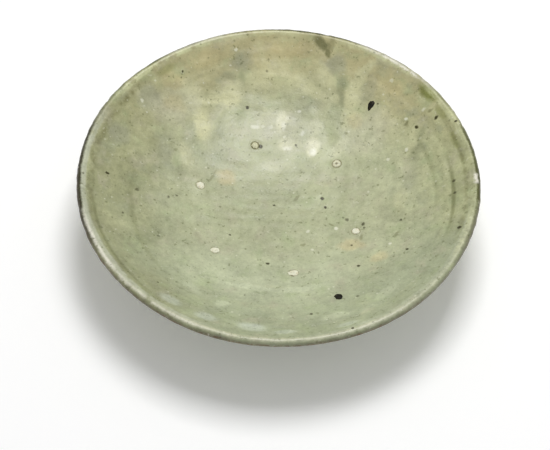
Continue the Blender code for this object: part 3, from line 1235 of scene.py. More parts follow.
    # Pale grains; those in the well round (0, 35) are painted glints in the highlight.
    grains_and_glints: Tuple[Fleck, ...] = (
        Fleck(22.2, -8.3, 0.75), Fleck(42.1, -18.9, 0.7), Fleck(-53.6, 38.7, 0.7, 0.8),
        Fleck(48.4, 23.9, 0.75, 0.8), Fleck(41.6, 21.3, 0.75, 0.8), Fleck(48.2, 36.4, 0.65),
        Fleck(54.6, 38.3, 0.7, 0.7), Fleck(-18.5, 65.2, 0.65, 0.8), Fleck(11.6, -9.4, 0.7, 0.8),
        Fleck(13.3, -18.5, 0.6, 0.7), Fleck(42.6, 52.3, 0.8, 0.6), Fleck(-6.8, 38.2, 0.8, 0.5),
        Fleck(-3.6, 38.6, 0.5, 0.5), Fleck(1.6, 34.0, 0.6, 0.8), Fleck(2.4, 41.8, 0.9, 0.6),
        Fleck(12.2, 28.4, 0.9, 0.5), Fleck(19.6, -40.0, 0.5, 0.7),
    )

    def material(self, face: Face) -> Finish:
        """The finish of one coat.

        Args:
            face: which coat.

        Returns:
            A material that reads what is stored on the coat: from_crest, in mm outside the crest of the
            lip, ring_lift, the height of the throwing rings in mm, and inside also pit, the soil of the
            spur marks from 0 to 1.
        """
        bench = Bench(f"ash_glaze_{face.value}")
        place = bench.place()
        x, y, _ = bench.parts(place)
        radius = (x * x + y * y) ** 0.5
        flats = {stray: self._flat(bench, place, stray) for stray in Stray if face is Face.INSIDE}
        curdle = bench.noise(place, size=3.4, detail=4.0, rough=0.62, shift=40.0)
        grit = bench.noise(place, size=1.4, rough=0.62, shift=70.0)
        fine = bench.noise(place, size=0.6, detail=2.0, shift=110.0)
        billow = bench.noise(place, size=8.0, detail=2.0, rough=0.5, shift=90.0)
        cloud = bench.noise(place, size=22.0, detail=2.0, rough=0.5, shift=130.0)
        colour = self._ground(bench, place, x, y, radius)
        colour = self._rings(bench, colour)
        if face is Face.INSIDE:
            for tinge in self.tinges:
                colour = tinge.laid(bench, flats, colour)
            colour = bench.mix(bench.stored("pit") * 0.9, colour, self.stain)
        colour = self._lip(bench, place, x / radius, y / radius, colour)
        uneven = 1.0 + 0.25 * radius.fade(30.0, 55.0) - 0.45 * y.fade(35.0, 60.0)
        small = 0.38 * (curdle - 0.5) + 0.34 * (grit - 0.5) + 0.25 * (fine - 0.5)
        large = (0.5 * (billow - 0.5) + 0.45 * (cloud - 0.5)) * (0.6 + 0.25 * radius.fade(20.0, 45.0))
        colour = bench.vector("SCALE", colour, Scale=1.0 + uneven * small + large)
        flecks, specks, grains_and_glints = self._strewn(bench, place, flats.get(Stray.FINE))
        colour = bench.mix(flecks, colour, self.fleck)
        colour = bench.mix(specks, colour, self.speck)
        # Pale grains, and painted glints in the highlight.
        colour = bench.mix(grains_and_glints, colour, self.grain_and_glint)
        pits = bench.scatter(place, size=1.1, share=0.5, radius=0.2, shift=300.0)
        bumps = 0.5 * curdle + 0.45 * grit + 0.15 * fine + 0.3 * grains_and_glints - 0.4 * pits
        roughness = self.roughness + 0.35 * (curdle - 0.5) + 0.15 * (grit - 0.5) + 0.15 * pits
        return bench.finish(colour, roughness, bumps, self.relief, self.shine)

    def _flat(self, bench: Bench, place: Wire, stray: Stray) -> Wire:
        """Coordinates in the plane of the rim, which stray from true by a noise of their own.

        Args:
            bench: the material's bench.
            place: coordinates in mm.
            stray: how far they stray.

        Returns:
            The strayed coordinates, with no height.
        """
        inputs = {"Vector": place, "Scale": 1 / stray.size, "Detail": 4.0, "Roughness": 0.58}
        noise = bench.wire("ShaderNodeTexNoise", None, inputs, "Color")
        offset = bench.vector("SCALE", bench.vector("SUBTRACT", noise, (0.5, 0.5, 0.5)), Scale=stray.reach)
        return bench.vector("MULTIPLY", bench.vector("ADD", place, offset), (1.0, 1.0, 0.0))

    def _ground(self, bench: Bench, place: Wire, x: Wire, y: Wire, radius: Wire) -> Wire:
        """Large changes of colour: sage in the well, olive up the wall, tan at the back, and painted shade on
        the darker olive of the left wall.

        Args:
            bench: the material's bench.
            place: coordinates in mm.
            x, y, radius: parts of the place, and its distance from the axis.

        Returns:
            The ground colour.
        """
        cloud = bench.noise(place, size=24.0, rough=0.55, shift=10.0) - 0.5
        billow = bench.noise(place, size=11.0, rough=0.55, shift=25.0)
        hue = bench.noise(place, size=9.0, detail=4.0, shift=35.0)
        wall = (radius + 30.0 * cloud).fade(40.0, 72.0)
        rise = (radius + 20.0 * cloud).fade(18.0, 48.0)
        near = (y + 25.0 * cloud).fade(0.0, -40.0)
        back = (y + 30.0 * cloud).fade(5.0, 60.0)
        left = (x - 30.0 * cloud).fade(-12.0, -55.0) * (1.0 - 0.55 * back)
        right = (x + 30.0 * cloud).fade(15.0, 50.0)
        colour = bench.mix(radius.fade(6.0, 26.0), self.middle, self.sage)
        colour = bench.mix(radius.fade(6.0, 36.0) * near * 0.9, colour, self.near_sage)
        colour = bench.mix(rise * right * 0.8, colour, self.right_sage)
        # Painted shade on the left wall, over its darker olive glaze.
        colour = bench.mix(rise * left * 0.6, colour, self.left_olive_shade)
        colour = bench.mix(wall * 0.85, colour, self.olive)
        colour = bench.mix((radius + 20.0 * cloud).fade(36.0, 58.0) * near * 0.9, colour, self.near_green)
        colour = bench.mix(wall * back * 0.8, colour, self.tan)
        # Painted shade on the left wall, over its darker olive glaze.
        colour = bench.mix(wall * left * 0.8, colour, self.shade_olive)
        colour = bench.mix(hue.fade(0.52, 0.7) * 0.45, colour, self.moss)
        colour = bench.mix(hue.fade(0.48, 0.3) * 0.45, colour, self.drab)
        upper = radius.fade(26.0, 60.0) * (1.0 - 0.7 * near)
        colour = bench.mix(upper * billow.fade(0.52, 0.68) * 0.32, colour, self.cream)
        colour = bench.mix(upper * billow.fade(0.47, 0.32) * 0.4, colour, self.slate)
        drum = bench.drum(x, y, radius, girth=14.0, height=radius)
        streaks = bench.noise(drum, size=3.0, detail=4.0, shift=20.0)
        colour = bench.mix(streaks.fade(0.58, 0.72) * 0.14, colour, self.dark_olive)
        return bench.mix(streaks.fade(0.42, 0.3) * 0.12, colour, self.cream)

    def _rings(self, bench: Bench, colour: Wire) -> Wire:
        """Glaze drawn off the throwing rings and pooled between them: pale ridges and dark grooves.

        Args:
            bench: the material's bench.
            colour: the colour so far.

        Returns:
            The colour with the rings.
        """
        lift = bench.stored("ring_lift")
        colour = bench.mix(lift.fade(-0.01, -0.11) * 0.68, colour, self.dark_olive)
        return bench.mix(lift.fade(0.03, 0.14) * 0.35, colour, self.cream)

    def _lip(self, bench: Bench, place: Wire, east: Wire, north: Wire, colour: Wire) -> Wire:
        """The lip: a pale crest, partly painted highlight, an olive line inside it and a dark outer round of
        painted shade, each in its own stretches.

        Args:
            bench: the material's bench.
            place: coordinates in mm.
            east, north: cosine and sine of the bearing from the axis.
            colour: the colour so far.

        Returns:
            The colour with the lip's bands. Where the glaze is rubbed off, white and then bare clay show; on
            the lower left the white also paints a highlight along the lip.
        """
        wander = bench.noise(place, size=11.0, shift=150.0) - 0.5
        patchy = bench.noise(place, size=4.0, shift=170.0)
        worn = bench.noise(place, size=1.5, detail=4.0, rough=0.65, shift=190.0)
        across = bench.stored("from_crest") + 1.6 * wander + 1.2 * (worn - 0.5)
        grey_to_cream = bench.mix(across.fade(-1.4, -2.6), self.lip_grey, self.lip_cream)
        # outer and below mask painted shade on the outer round of the lip.
        outer = across.fade(-0.3, 0.9) * across.fade(4.4, 3.0)
        below = across.fade(0.4, 2.9) * across.fade(4.8, 3.6)
        under = across.fade(1.9, 2.7) * across.fade(4.8, 3.6)
        bands = (
            (self.olive_line, across.band(-3.9, 2.0) * patchy.fade(0.38, 0.62), self.lip_olive),
            (self.pale_crest, across.shelf(-0.6, 2.2) * patchy.fade(0.2, 0.5), grey_to_cream),
            (self.grey_crest, across.shelf(-1.2, 2.3) * patchy.fade(0.2, 0.5), self.lip_grey),
            (self.green_crest, across.shelf(-0.7, 2.2) * patchy.fade(0.32, 0.55), self.lip_green),
            (self.cream_rim, across.shelf(-0.1, 1.4, 0.8) * patchy.fade(0.2, 0.45), self.lip_cream),
            (self.olive_rim, across.shelf(1.2, 2.0) * patchy.fade(0.28, 0.5), self.rim_olive),
            (self.dark_edge_shade, outer, self.edge),
            (self.low_edge_shade, below, self.painted_shade_brown),
            (self.rubbed_edge_and_highlight, across.band(0.3, 1.2) * patchy.fade(0.28, 0.5), self.lip_white),
            (self.rubbed_crest, across.band(-0.3, 1.3) * worn.fade(0.38, 0.54), self.lip_white),
            (self.bare_edge, under * worn.fade(0.46, 0.58), self.clay),
        )
        for arcs, cover, tint in bands:
            reach = bench.most(arc.cover(east, north) for arc in arcs)
            colour = bench.mix(reach * cover, colour, tint)
        return colour

    def _strewn(self, bench: Bench, place: Wire, flat: Optional[Wire]) -> Tuple[Wire, Wire, Wire]:
        """Flecks and grains: strewn ones on both coats, and placed ones inside, some of which are painted
        glints in the highlight.

        Args:
            bench: the material's bench.
            place: coordinates in mm.
            flat: strayed coordinates in the plane of the rim, or None for no placed ones.

        Returns:
            Cover of the olive flecks, of the dark iron specks, and of the pale grains with the painted
            glints.
        """
        smears = bench.noise(place, size=1.7, shift=210.0).fade(0.61, 0.71) * 0.55
        dashes = bench.scatter(place, size=2.6, share=0.45, radius=0.5, shift=230.0) * 0.48
        flecks = bench.most((smears, dashes))
        dots = bench.scatter(place, size=7.5, share=0.25, radius=0.5, shift=290.0) * 0.7
        placed_specks = (fleck.cover(bench, flat) for fleck in self.specks if flat)
        specks = bench.most(chain((dots,), placed_specks))
        curds = bench.noise(place, size=2.0, shift=250.0).fade(0.63, 0.74) * 0.35
        crumbs = bench.scatter(place, size=2.6, share=0.4, radius=0.45, shift=270.0) * 0.55
        placed_grains_and_glints = (fleck.cover(bench, flat) for fleck in self.grains_and_glints if flat)
        grains_and_glints = bench.most(chain((curds, crumbs), placed_grains_and_glints))
        return flecks, specks * self.speck_cover, grains_and_glints * self.grain_and_glint_cover


@dataclass(frozen=True)
class BareClay:
    """Bare stoneware: brown-grey and gritty, flashed near the glaze and rubbed pale under the foot.

    Heights are in mm above the standing plane.
    """

    brown: Colour = srgb(128, 104, 80)
    grey: Colour = srgb(150, 132, 108)
    rust: Colour = srgb(128, 78, 46)
    grog: Colour = srgb(190, 176, 150)
    dark: Colour = srgb(58, 46, 36)
    flash: Colour = srgb(150, 88, 48)
    rubbed: Colour = srgb(176, 158, 132)
    flash_height: Span = (4.3, 6.0)
    rubbed_height: Span = (1.2, 0.4)
    roughness: float = 0.85
    shine: float = 0.3
    relief: float = 0.18 * MM

    def material(self) -> Finish:
        """The finish of the clay body and of the foot ring.

        Returns:
            A material with clouds, grit, grog and trimming lines round the axis.
        """
        bench = Bench("bare_stoneware")
        place = bench.place()
        x, y, z = bench.parts(place)
        radius = (x * x + y * y) ** 0.5
        drum = bench.drum(x, y, radius, girth=2.5, height=radius + z)
        lines = bench.noise(drum, size=0.7)
        cloud = bench.noise(place, size=14.0, detail=4.0, shift=30.0)
        grit = bench.noise(place, size=0.6, rough=0.65, shift=60.0)
        grog = bench.scatter(place, size=1.7, share=0.4, radius=0.45, shift=90.0)
        iron = bench.scatter(place, size=2.4, share=0.3, radius=0.4, shift=120.0)
        colour = bench.mix(cloud.fade(0.35, 0.65), self.brown, self.grey)
        colour = bench.mix(cloud.fade(0.58, 0.75) * 0.6, colour, self.rust)
        colour = bench.mix(z.fade(*self.flash_height) * cloud.fade(0.3, 0.6) * 0.8, colour, self.flash)
        colour = bench.mix(z.fade(*self.rubbed_height) * grit.fade(0.35, 0.6) * 0.7, colour, self.rubbed)
        colour = bench.vector("SCALE", colour, Scale=1.0 + 0.6 * (lines - 0.5) + 0.45 * (grit - 0.5))
        colour = bench.mix(grog * 0.6, colour, self.grog)
        colour = bench.mix(iron * 0.8, colour, self.dark)
        bumps = 0.5 * lines + 0.4 * grit + 0.5 * grog
        return bench.finish(colour, self.roughness + 0.1 * (grit - 0.5), bumps, self.relief, self.shine)


@dataclass(frozen=True)
class SpurClay:
    """Pale coarse clay of the spurs, stained where the glaze ran against it."""

    pale: Colour = srgb(238, 239, 217)
    warm: Colour = srgb(224, 212, 180)
    yellow: Colour = srgb(204, 204, 160)
    grit: Colour = srgb(150, 128, 96)
    stain: Colour = srgb(104, 90, 56)
    roughness: float = 0.85
    shine: float = 0.3
    relief: float = 0.15 * MM

    def material(self) -> Finish:
        """The finish of all stubs.

        Returns:
            A material that reads what is stored on a stub: soil and dull, both from 0 to 1.
        """
        bench = Bench("spur_clay")
        place = bench.place()
        lumps = bench.noise(place, size=0.8)
        fine = bench.noise(place, size=0.25, detail=2.0, shift=20.0)
        blot = bench.noise(place, size=2.2, detail=2.0, rough=0.5, shift=40.0)
        colour = bench.mix(lumps.fade(0.4, 0.7) * 0.8, self.pale, self.warm)
        colour = bench.mix(bench.stored("dull"), colour, self.yellow)
        colour = bench.mix(fine.fade(0.58, 0.7) * 0.5, colour, self.grit)
        colour = bench.mix(bench.stored("soil") * blot.fade(0.3, 0.55), colour, self.stain)
        roughness = self.roughness + 0.1 * (fine - 0.5)
        return bench.finish(colour, roughness, 0.6 * lumps + 0.4 * fine, self.relief, self.shine)


@dataclass(frozen=True)
class IronSlag:
    """Black melted iron, with a brown skin in places."""

    black: Colour = srgb(16, 15, 4)
    brown: Colour = srgb(46, 40, 16)
    rim: Colour = srgb(84, 82, 54)
    roughness: float = 0.5
    shine: float = 0.2
    relief: float = 0.08 * MM

    def material(self) -> Finish:
        """The finish of both nodules.

        Returns:
            A material that reads the stored edge: 0 in the middle of a nodule and 1 at its outline.
        """
        bench = Bench("iron_slag")
        place = bench.place()
        lumps = bench.noise(place, size=1.5, rough=0.55)
        fine = bench.noise(place, size=0.25, detail=2.0, shift=20.0)
        edge = bench.stored("edge") + 0.4 * (lumps - 0.5)
        colour = bench.mix(lumps.fade(0.48, 0.62) * 0.8, self.black, self.brown)
        colour = bench.mix(edge.fade(0.92, 1.1) * 0.5, colour, self.rim)
        roughness = self.roughness + 0.3 * (fine - 0.5)
        return bench.finish(colour, roughness, 0.7 * lumps + 0.3 * fine, self.relief, self.shine)


@dataclass(frozen=True)
class Assembly:
    """A sub-assembly of the dish, which knows the common form and the potter's hand."""

    form: DishForm
    hand: PottersHand

    def turned(self, strip: Strip, angles: Array) -> Array:
        """Carry a strip round the axis, with the sway of the wall."""
        share = strip.place[..., 0] / self.form.rim_radius
        return strip.wrapped(angles, self.hand.sway(angles, share))

    def on_glaze(self, x: float, y: float) -> Tuple[Array, Array]:
        """A place on the uneven inner glaze and its own axes, as those of DishForm.on_inner_face."""
        place, axes = self.form.on_inner_face(x, y)
        return place + self.hand.swell(place) * axes[2], axes

    def place(self, piece: Piece, material: Finish, slot: str, *nodes: str) -> Piece:
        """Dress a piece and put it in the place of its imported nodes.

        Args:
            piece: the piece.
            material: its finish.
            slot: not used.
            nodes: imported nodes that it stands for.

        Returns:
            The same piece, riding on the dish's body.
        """
        piece.data.materials.append(material)
        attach(piece, BODY)
        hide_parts(*nodes)
        return piece


@dataclass(frozen=True)
class ThrownBody(Assembly):
    """The thrown clay body, which shows below the outer glaze and in the recess of the foot."""

    steps: int = 360
    trim_pitch: float = 1.5 * MM
    trim_height: float = 0.05 * MM
    nib_radius: float = 3.2 * MM
    nib_height: float = 0.35 * MM
    grit_length: float = 2.0 * MM
    grit_height: float = 0.02 * MM
    pole: float = 1 * MM
    inside_spacing: float = 2.5 * MM
    lip_rows: int = 12
    outside_rows: Tuple[Run, ...] = ((0.04, 0.8, 0.04), (0.8, 1.0, 0.008))
    underside_spacing: float = 0.45 * MM

    def build(self) -> Iterator[Piece]:
        """Make the body: the faces under both coats, the shoulder, the spigot and the recess.

        Returns:
            An iterator over its one piece.
        """
        form, angles = self.form, round_axis(self.steps)
        inside = form.inner_face(graded((self.pole, form.lip_tangent(inside=True)[0], self.inside_spacing)))
        lip = form.lip(form.lip_slope + math.pi / 2, form.lip_slope - math.pi / 2, self.lip_rows)
        outside = form.outer_face(graded(*self.outside_rows)[:, None])
        faces = inside.then(lip).then(outside).raised(-form.coat)
        spigot = form.foot_inner - form.seat_gap
        edge = faces.place[-1, 0]
        underside = polyline(
            (
                (float(edge[0]), float(edge[1])),
                (form.foot_outer, form.seat_height),
                (spigot, form.seat_height),
                (spigot, form.recess_height),
                (self.pole, form.recess_height),
            ),
            self.underside_spacing,
        )
        strip = faces.then(underside)
        base = self.turned(strip, angles)
        radii = from_axis(base)
        trim = self.hand.ripples(angles, radii, base, self.trim_pitch, self.trim_height)
        grit = self.grit_height * self.hand.rolling(base, self.grit_length, Field.CLAY_GRIT)
        nib = self.nib_height * bell(radii, self.nib_radius)
        low = base[..., 2] < form.seat_height + form.shoulder
        grid = self.turned(strip.raised(np.where(low, trim + grit, 0.0)), angles)
        grid[..., 2] -= np.where(base[..., 2] < form.recess_height + form.seat_gap, nib, 0.0)
        piece = skin("thrown_body", grid, Ends.POLES)
        yield self.place(piece, BareClay().material(), "stoneware", "clay_body")


@dataclass(frozen=True)
class FootRing(Assembly):
    """The foot ring, tapered to its foot, with trimming lines and worn edges."""

    steps: int = 420
    taper: float = 0.4 * MM
    bevel: float = 0.5 * MM
    wear: float = 0.05 * MM
    wear_length: float = 3.5 * MM
    wear_limit: float = 0.4
    line_pitch: float = 0.9 * MM
    line_height: float = 0.03 * MM
    spacing: float = 0.3 * MM

    def build(self) -> Iterator[Piece]:
        """Make the ring from its section, which runs round from low on its inner side.

        Returns:
            An iterator over its one piece.
        """
        form = self.form
        outer, inner = form.foot_outer - self.taper, form.foot_inner + self.taper
        top, low = form.foot_top, form.foot_bottom
        section = polyline(
            (
                (form.foot_inner, low + self.bevel + self.taper),
                (form.foot_inner, top),
                (form.foot_outer, top),
                (outer, low + self.bevel),
                (outer - self.bevel, low),
                (inner + self.bevel, low),
                (inner, low + self.bevel),
                (form.foot_inner, low + self.bevel + self.taper),
            ),
            self.spacing,
        )
        hops = np.linalg.norm(np.diff(section.place[:, 0], axis=0), axis=-1)
        keep = np.concatenate(([True], hops > SAME_PLACE))
        keep[-1] = False
        section = section.rows(keep)
        angles = round_axis(self.steps)
        base = section.wrapped(angles)
        lines = self.line_height * np.cos(2 * math.pi * (base[..., 2] + from_axis(base)) / self.line_pitch)
        rolling = self.hand.rolling(base, self.wear_length, Field.FOOT_WEAR)
        worn = self.wear * np.minimum(rolling, self.wear_limit)
        standing = ease(base[..., 2], low, low + 2 * self.bevel)
        grid = section.raised((lines + worn) * standing - self.line_height).wrapped(angles)
        piece = skin("trimmed_foot", grid, Ends.LOOP)
        yield self.place(piece, BareClay().material(), "stoneware", "foot_ring")


@dataclass(frozen=True)
class SpurBreak:
    """How a spur broke off.

    Its lengths are shares of its seat. Then come the raggedness of its outline, the soil at the outline
    and in the middle, its dullness, its turn in degrees, and where both soils begin and are full.
    """

    along: float
    across: float
    ragged: float
    edge_soil: float
    core_soil: float
    dull: float
    turn: float = 0.0
    edge_zone: Span = (0.75, 1.0)
    core_zone: Span = (0.5, 0.15)

    def soil(self, piece: Piece, edge: Array) -> None:
        """Store the soil, at the outline and in the middle, and the dullness at the points of a stub.

        Args:
            piece: the stub.
            edge: values from 0 in the middle to 1 at the outline, by point.
        """
        outline = self.edge_soil * ease(edge, *self.edge_zone)
        mark(piece, "soil", outline + self.core_soil * ease(edge, *self.core_zone))
        mark(piece, "dull", np.full(edge.shape, self.dull))


WELL_BREAKS = (
    SpurBreak(1.0, 0.98, 0.08, 0.5, 0.75, 0.3),
    SpurBreak(0.9, 0.78, 0.16, 0.28, 0.0, 0.6),
    SpurBreak(1.0, 0.98, 0.07, 0.15, 0.0, 0.0),
    SpurBreak(1.14, 0.84, 0.10, 0.1, 0.0, 0.1, 138),
    SpurBreak(1.20, 0.84, 0.16, 0.25, 0.0, 0.15, 83),
    SpurBreak(0.96, 0.94, 0.10, 0.25, 0.0, 0.0),
)


@dataclass(frozen=True)
class GlazeCoats(Assembly):
    """The glaze poured inside and the glaze outside, which meet on the lip."""

    steps: int = 640
    rows_per_back_row: int = 6
    seam: float = math.radians(36)
    pit_depth: float = 0.42 * MM
    pit_edge: Span = (0.1 * MM, -0.35 * MM)
    meniscus: float = 0.10 * MM
    meniscus_beyond: float = 0.35 * MM
    meniscus_width: float = 0.45 * MM
    soil_beyond: float = 0.55 * MM
    least_soil: float = 0.2
    pole: float = 0.4 * MM
    spur_zone: Span = (28 * MM, 34.4 * MM)
    upper_wall: float = 60 * MM
    inside_spacings: Tuple[float, ...] = (0.95 * MM, 0.32 * MM, 0.8 * MM, 0.42 * MM)
    lip_rows: int = 18
    calm_inside: Span = (-4 * MM, -1 * MM)
    calm_outside: Span = (4.5 * MM, 9 * MM)
    outside_rows: Tuple[Run, ...] = (
        (0.0, 0.86, 0.022),
        (0.86, 0.97, 0.01),
        (0.97, 1.0, 0.002),
    )
    outside_pitch: float = 5.2 * MM
    outside_ripple: float = 0.096 * MM
    shown_ripple: float = 0.35
    bare_band: float = 2.2 * MM
    least_band: float = 0.6 * MM
    edge_probes: int = 2001
    edge_wave: float = 0.8 * MM
    wave_length: float = 24 * MM
    ripple_length: float = 9 * MM
    ripple_share: float = 0.5
    edge_bead: float = 0.28 * MM
    bead_back: float = 1.6 * MM
    bead_width: float = 1.5 * MM
    edge_round: float = 0.8 * MM
    tongues: Tuple[float, ...] = (0.5, 1.9, 2.3, 3.4, 4.4, 5.6)
    tongue_width: float = 0.035
    tongue_length: float = 1.5 * MM
    tongue_bead: float = 0.9
    run_height: float = 0.16 * MM
    run_span: Span = (16 * MM, 4 * MM)
    pooled: ThrowingRing = ThrowingRing(65.1 * MM, 1.5 * MM, 0.22 * MM, 100, 62)

    def build(self) -> Iterator[Piece]:
        """Make both coats."""
        yield self._inner()
        yield self._outer()

    def _mark(self, piece: Piece, back: slice, from_crest: Array, rings: Array) -> None:
        """Store what the finish of a coat reads, in millimetres, on its face and on its hidden back.

        Args:
            piece: the coat.
            back: which rows of the face the back has too.
            from_crest: distance of each row outside the crest of the lip.
            rings: height of the throwing rings, by row and step.
        """
        rows = np.repeat(from_crest[:, None], self.steps, axis=1)
        for name, values in (("from_crest", rows), ("ring_lift", rings)):
            mark(piece, name, np.concatenate((values, values[back])) / MM)

    def _stub_pits(self, base: Array) -> Tuple[Array, Array]:
        """Glaze round the spur stubs: a raised ring where it drew up, and a pit where the stub stands.

        Args:
            base: places of the inner face.

        Returns:
            Heights by row and step, for each stub a bell at its outline less a smooth step inside it, and
            how soiled each place is, from 0 outside the ring to the stub's own soil in the pit.
        """
        lift, soil = np.zeros(base.shape[:2]), np.zeros(base.shape[:2])
        for number, broken in enumerate(WELL_BREAKS, start=1):
            seat = Seat.of(f"spur_stub_{number}")
            beyond = from_axis(base - seat.middle) - seat.half[0]
            lift += self.meniscus * bell(beyond - self.meniscus_beyond, self.meniscus_width)
            lift -= self.pit_depth * ease(beyond, *self.pit_edge)
            soil += min(1.0, self.least_soil + broken.edge_soil) * ease(beyond, self.soil_beyond, 0.0)
        return lift, soil

    def _inner(self) -> Piece:
        """The inner coat, from the middle of the well to the seam on the lip.

        Returns:
            The coat.
        """
        form, hand, angles = self.form, self.hand, round_axis(self.steps)
        stops = (self.pole, *self.spur_zone, self.upper_wall, form.lip_tangent(inside=True)[0])
        radii = graded(*zip(stops[:-1], stops[1:], self.inside_spacings))
        lip = form.lip(form.lip_slope + math.pi / 2, self.seam, self.lip_rows)
        face = form.inner_face(radii[:-1]).then(lip)
        travel = face.travel()
        from_crest = travel - travel[-1] + (math.pi / 2 - self.seam) * form.lip_radius
        base = self.turned(face, angles)
        distance = from_axis(base)
        rings = np.sum([ring.lift(angles, distance) for ring in hand.inside_rings], axis=0)
        rings += hand.ripples(angles, distance, base, hand.ripple_pitch, hand.ripple_height)
        calm = 1 - ease(from_crest, *self.calm_inside)[:, None]
        swell = hand.swell(base) * calm
        wear = hand.lip_wear(angles, from_crest[:, None], base, form.rim_radius)
        pooled = self.pooled.lift(angles, distance)
        pits, soil = self._stub_pits(base)
        top = face.raised(swell + pooled + rings * calm + pits + wear)
        back = slice(None, None, -self.rows_per_back_row)
        under = face.raised(swell - form.coat).rows(back)
        piece = skin("poured_inner_glaze", self.turned(top.then(under), angles), Ends.POLES)
        self._mark(piece, back, from_crest, rings)
        mark(piece, "pit", np.concatenate((soil, soil[back])))
        return self.place(piece, AshGlaze().material(Face.INSIDE), "green_glaze", "inner_glaze")

    def _edge_share(self, angles: Array, tongues: Array) -> Array:
        """Where the outer coat ends: a band above the foot, waved by two rolling fields, less the tongues.

        Args:
            angles: angle of each step.
            tongues: how far each step is on a tongue of glaze, from 0 to 1.

        Returns:
            The end at each step, as a share of the way along the outer face from the lip to the shoulder.
        """
        form, hand = self.form, self.hand
        ring = np.stack((np.cos(angles), np.sin(angles), np.zeros_like(angles)), axis=-1) * form.foot_outer
        wave = hand.rolling(ring, self.wave_length, Field.EDGE_WAVE)
        wave = wave + self.ripple_share * hand.rolling(ring, self.ripple_length, Field.EDGE_RIPPLE)
        bare = self.bare_band + self.edge_wave * wave - self.tongue_length * tongues
        edge_radius = form.foot_outer + np.maximum(bare, self.least_band)
        shares = np.linspace(0, 1, self.edge_probes)
        radii = form.outer_face(shares[:, None]).place[:, 0, 0]
        return np.interp(-edge_radius, -radii, shares)

    def _outer(self) -> Piece:
        """The outer coat, from the seam on the lip to a wavy, beaded edge above the foot.

        Returns:
            The coat.
        """
        form, hand, angles = self.form, self.hand, round_axis(self.steps)
        humps = [bell(np.sin((angles - turn) / 2), self.tongue_width) for turn in self.tongues]
        tongues = np.sum(humps, axis=0)
        rows = graded(*self.outside_rows)
        wall = form.outer_face(rows[1:, None] * self._edge_share(angles, tongues))
        face = form.lip(self.seam, form.lip_slope - math.pi / 2, self.lip_rows).then(wall)
        travel = face.travel()
        from_crest = travel + (math.pi / 2 - self.seam) * form.lip_radius
        to_edge = (travel[-1] - travel)[:, None]
        base = self.turned(face, angles)
        calm = ease(from_crest, *self.calm_outside)[:, None]
        swell = hand.swell(base) * calm
        rings = hand.ripples(angles, from_axis(base), base, self.outside_pitch, self.outside_ripple) * calm
        bead = self.edge_bead * (1 + self.tongue_bead * tongues)
        bead = bead * bell(to_edge - self.bead_back, self.bead_width)
        bead = bead + self.run_height * tongues * ease(to_edge, *self.run_span)
        wear = hand.lip_wear(angles, from_crest[:, None], base, form.rim_radius)
        thick = form.coat + rings + bead + wear
        turn_in = np.sqrt(1 - (1 - np.minimum(to_edge / self.edge_round, 1)) ** 2)
        top = face.raised(swell - form.coat + thick * turn_in)
        last = (len(travel) - 2) // self.rows_per_back_row * self.rows_per_back_row
        back = slice(last, None, -self.rows_per_back_row)
        under = face.raised(swell - form.coat).rows(back)
        piece = skin("outer_glaze_coat", self.turned(top.then(under), angles), Ends.LOOP)
        self._mark(piece, back, from_crest, self.shown_ripple * rings)
        return self.place(piece, AshGlaze().material(Face.OUTSIDE), "green_glaze", "outer_glaze")


@dataclass(frozen=True)
class Lump:
    """A low irregular lump.

    It has half lengths, a height, a depth, the raggedness of its outline and a seed, and then how far it
    is drawn to a point and the power of the distance by which its top falls.
    """

    along: float
    across: float
    proud: float
    buried: float
    ragged: float
    seed: int
    point: float = 0.0
    flat: float = 4.0
    steps: int = 72
    top_share: Tuple[float, ...] = (*np.linspace(0.08, 0.9, 9), *np.linspace(0.93, 1.0, 5))
    base_share: Tuple[float, ...] = tuple(np.linspace(1.0, 0.1, 4))
    lobes: range = range(2, 9)
    dents: int = 6
    dent_pitch: float = 4.0
    dent_depth: float = 0.12
    fall: float = 0.05

    def grid(self) -> Tuple[Array, Array]:
        """Points of the lump in its own axes, and how near each is to the outline.

        The outline is an oval times one plus a seeded sum of lobes, narrowed towards its point. The top
        falls from the middle by a power of the distance, with lumps of its own, and the sides go straight
        down to a flat base.

        Returns:
            Points by row and step, and values from 0 in the middle to 1 at the outline.
        """
        chance = np.random.default_rng(self.seed)
        angles = round_axis(self.steps)
        lobes = sum(
            chance.normal() / count * np.cos(count * angles + chance.uniform(0, 2 * math.pi))
            for count in self.lobes
        )
        outline = 1 + self.ragged * lobes
        share, base = np.array(self.top_share)[:, None], np.array(self.base_share)[:, None]
        across = self.across * (1 - self.point * (1 - np.cos(angles)) / 2)
        x = self.along * (outline * np.cos(angles) - self.point / 3)
        y = across * outline * np.sin(angles)
        top = self.proud * (1 - share**self.flat)
        east, north = self.dent_pitch * share * np.cos(angles), self.dent_pitch * share * np.sin(angles)
        dents = sum(
            chance.normal() * np.cos(chance.normal() * east + chance.normal() * north + chance.uniform(0, 6))
            for _ in range(self.dents)
        )
        top = top * (1 + self.dent_depth * dents) - self.fall * self.proud * share
        height = np.concatenate((top, np.full((len(base), self.steps), -self.buried)))
        reach = np.concatenate((share, base))
        points = np.stack((reach * x, reach * y, height), axis=-1)
        return points, np.broadcast_to(np.concatenate((share, np.ones_like(base))), height.shape)


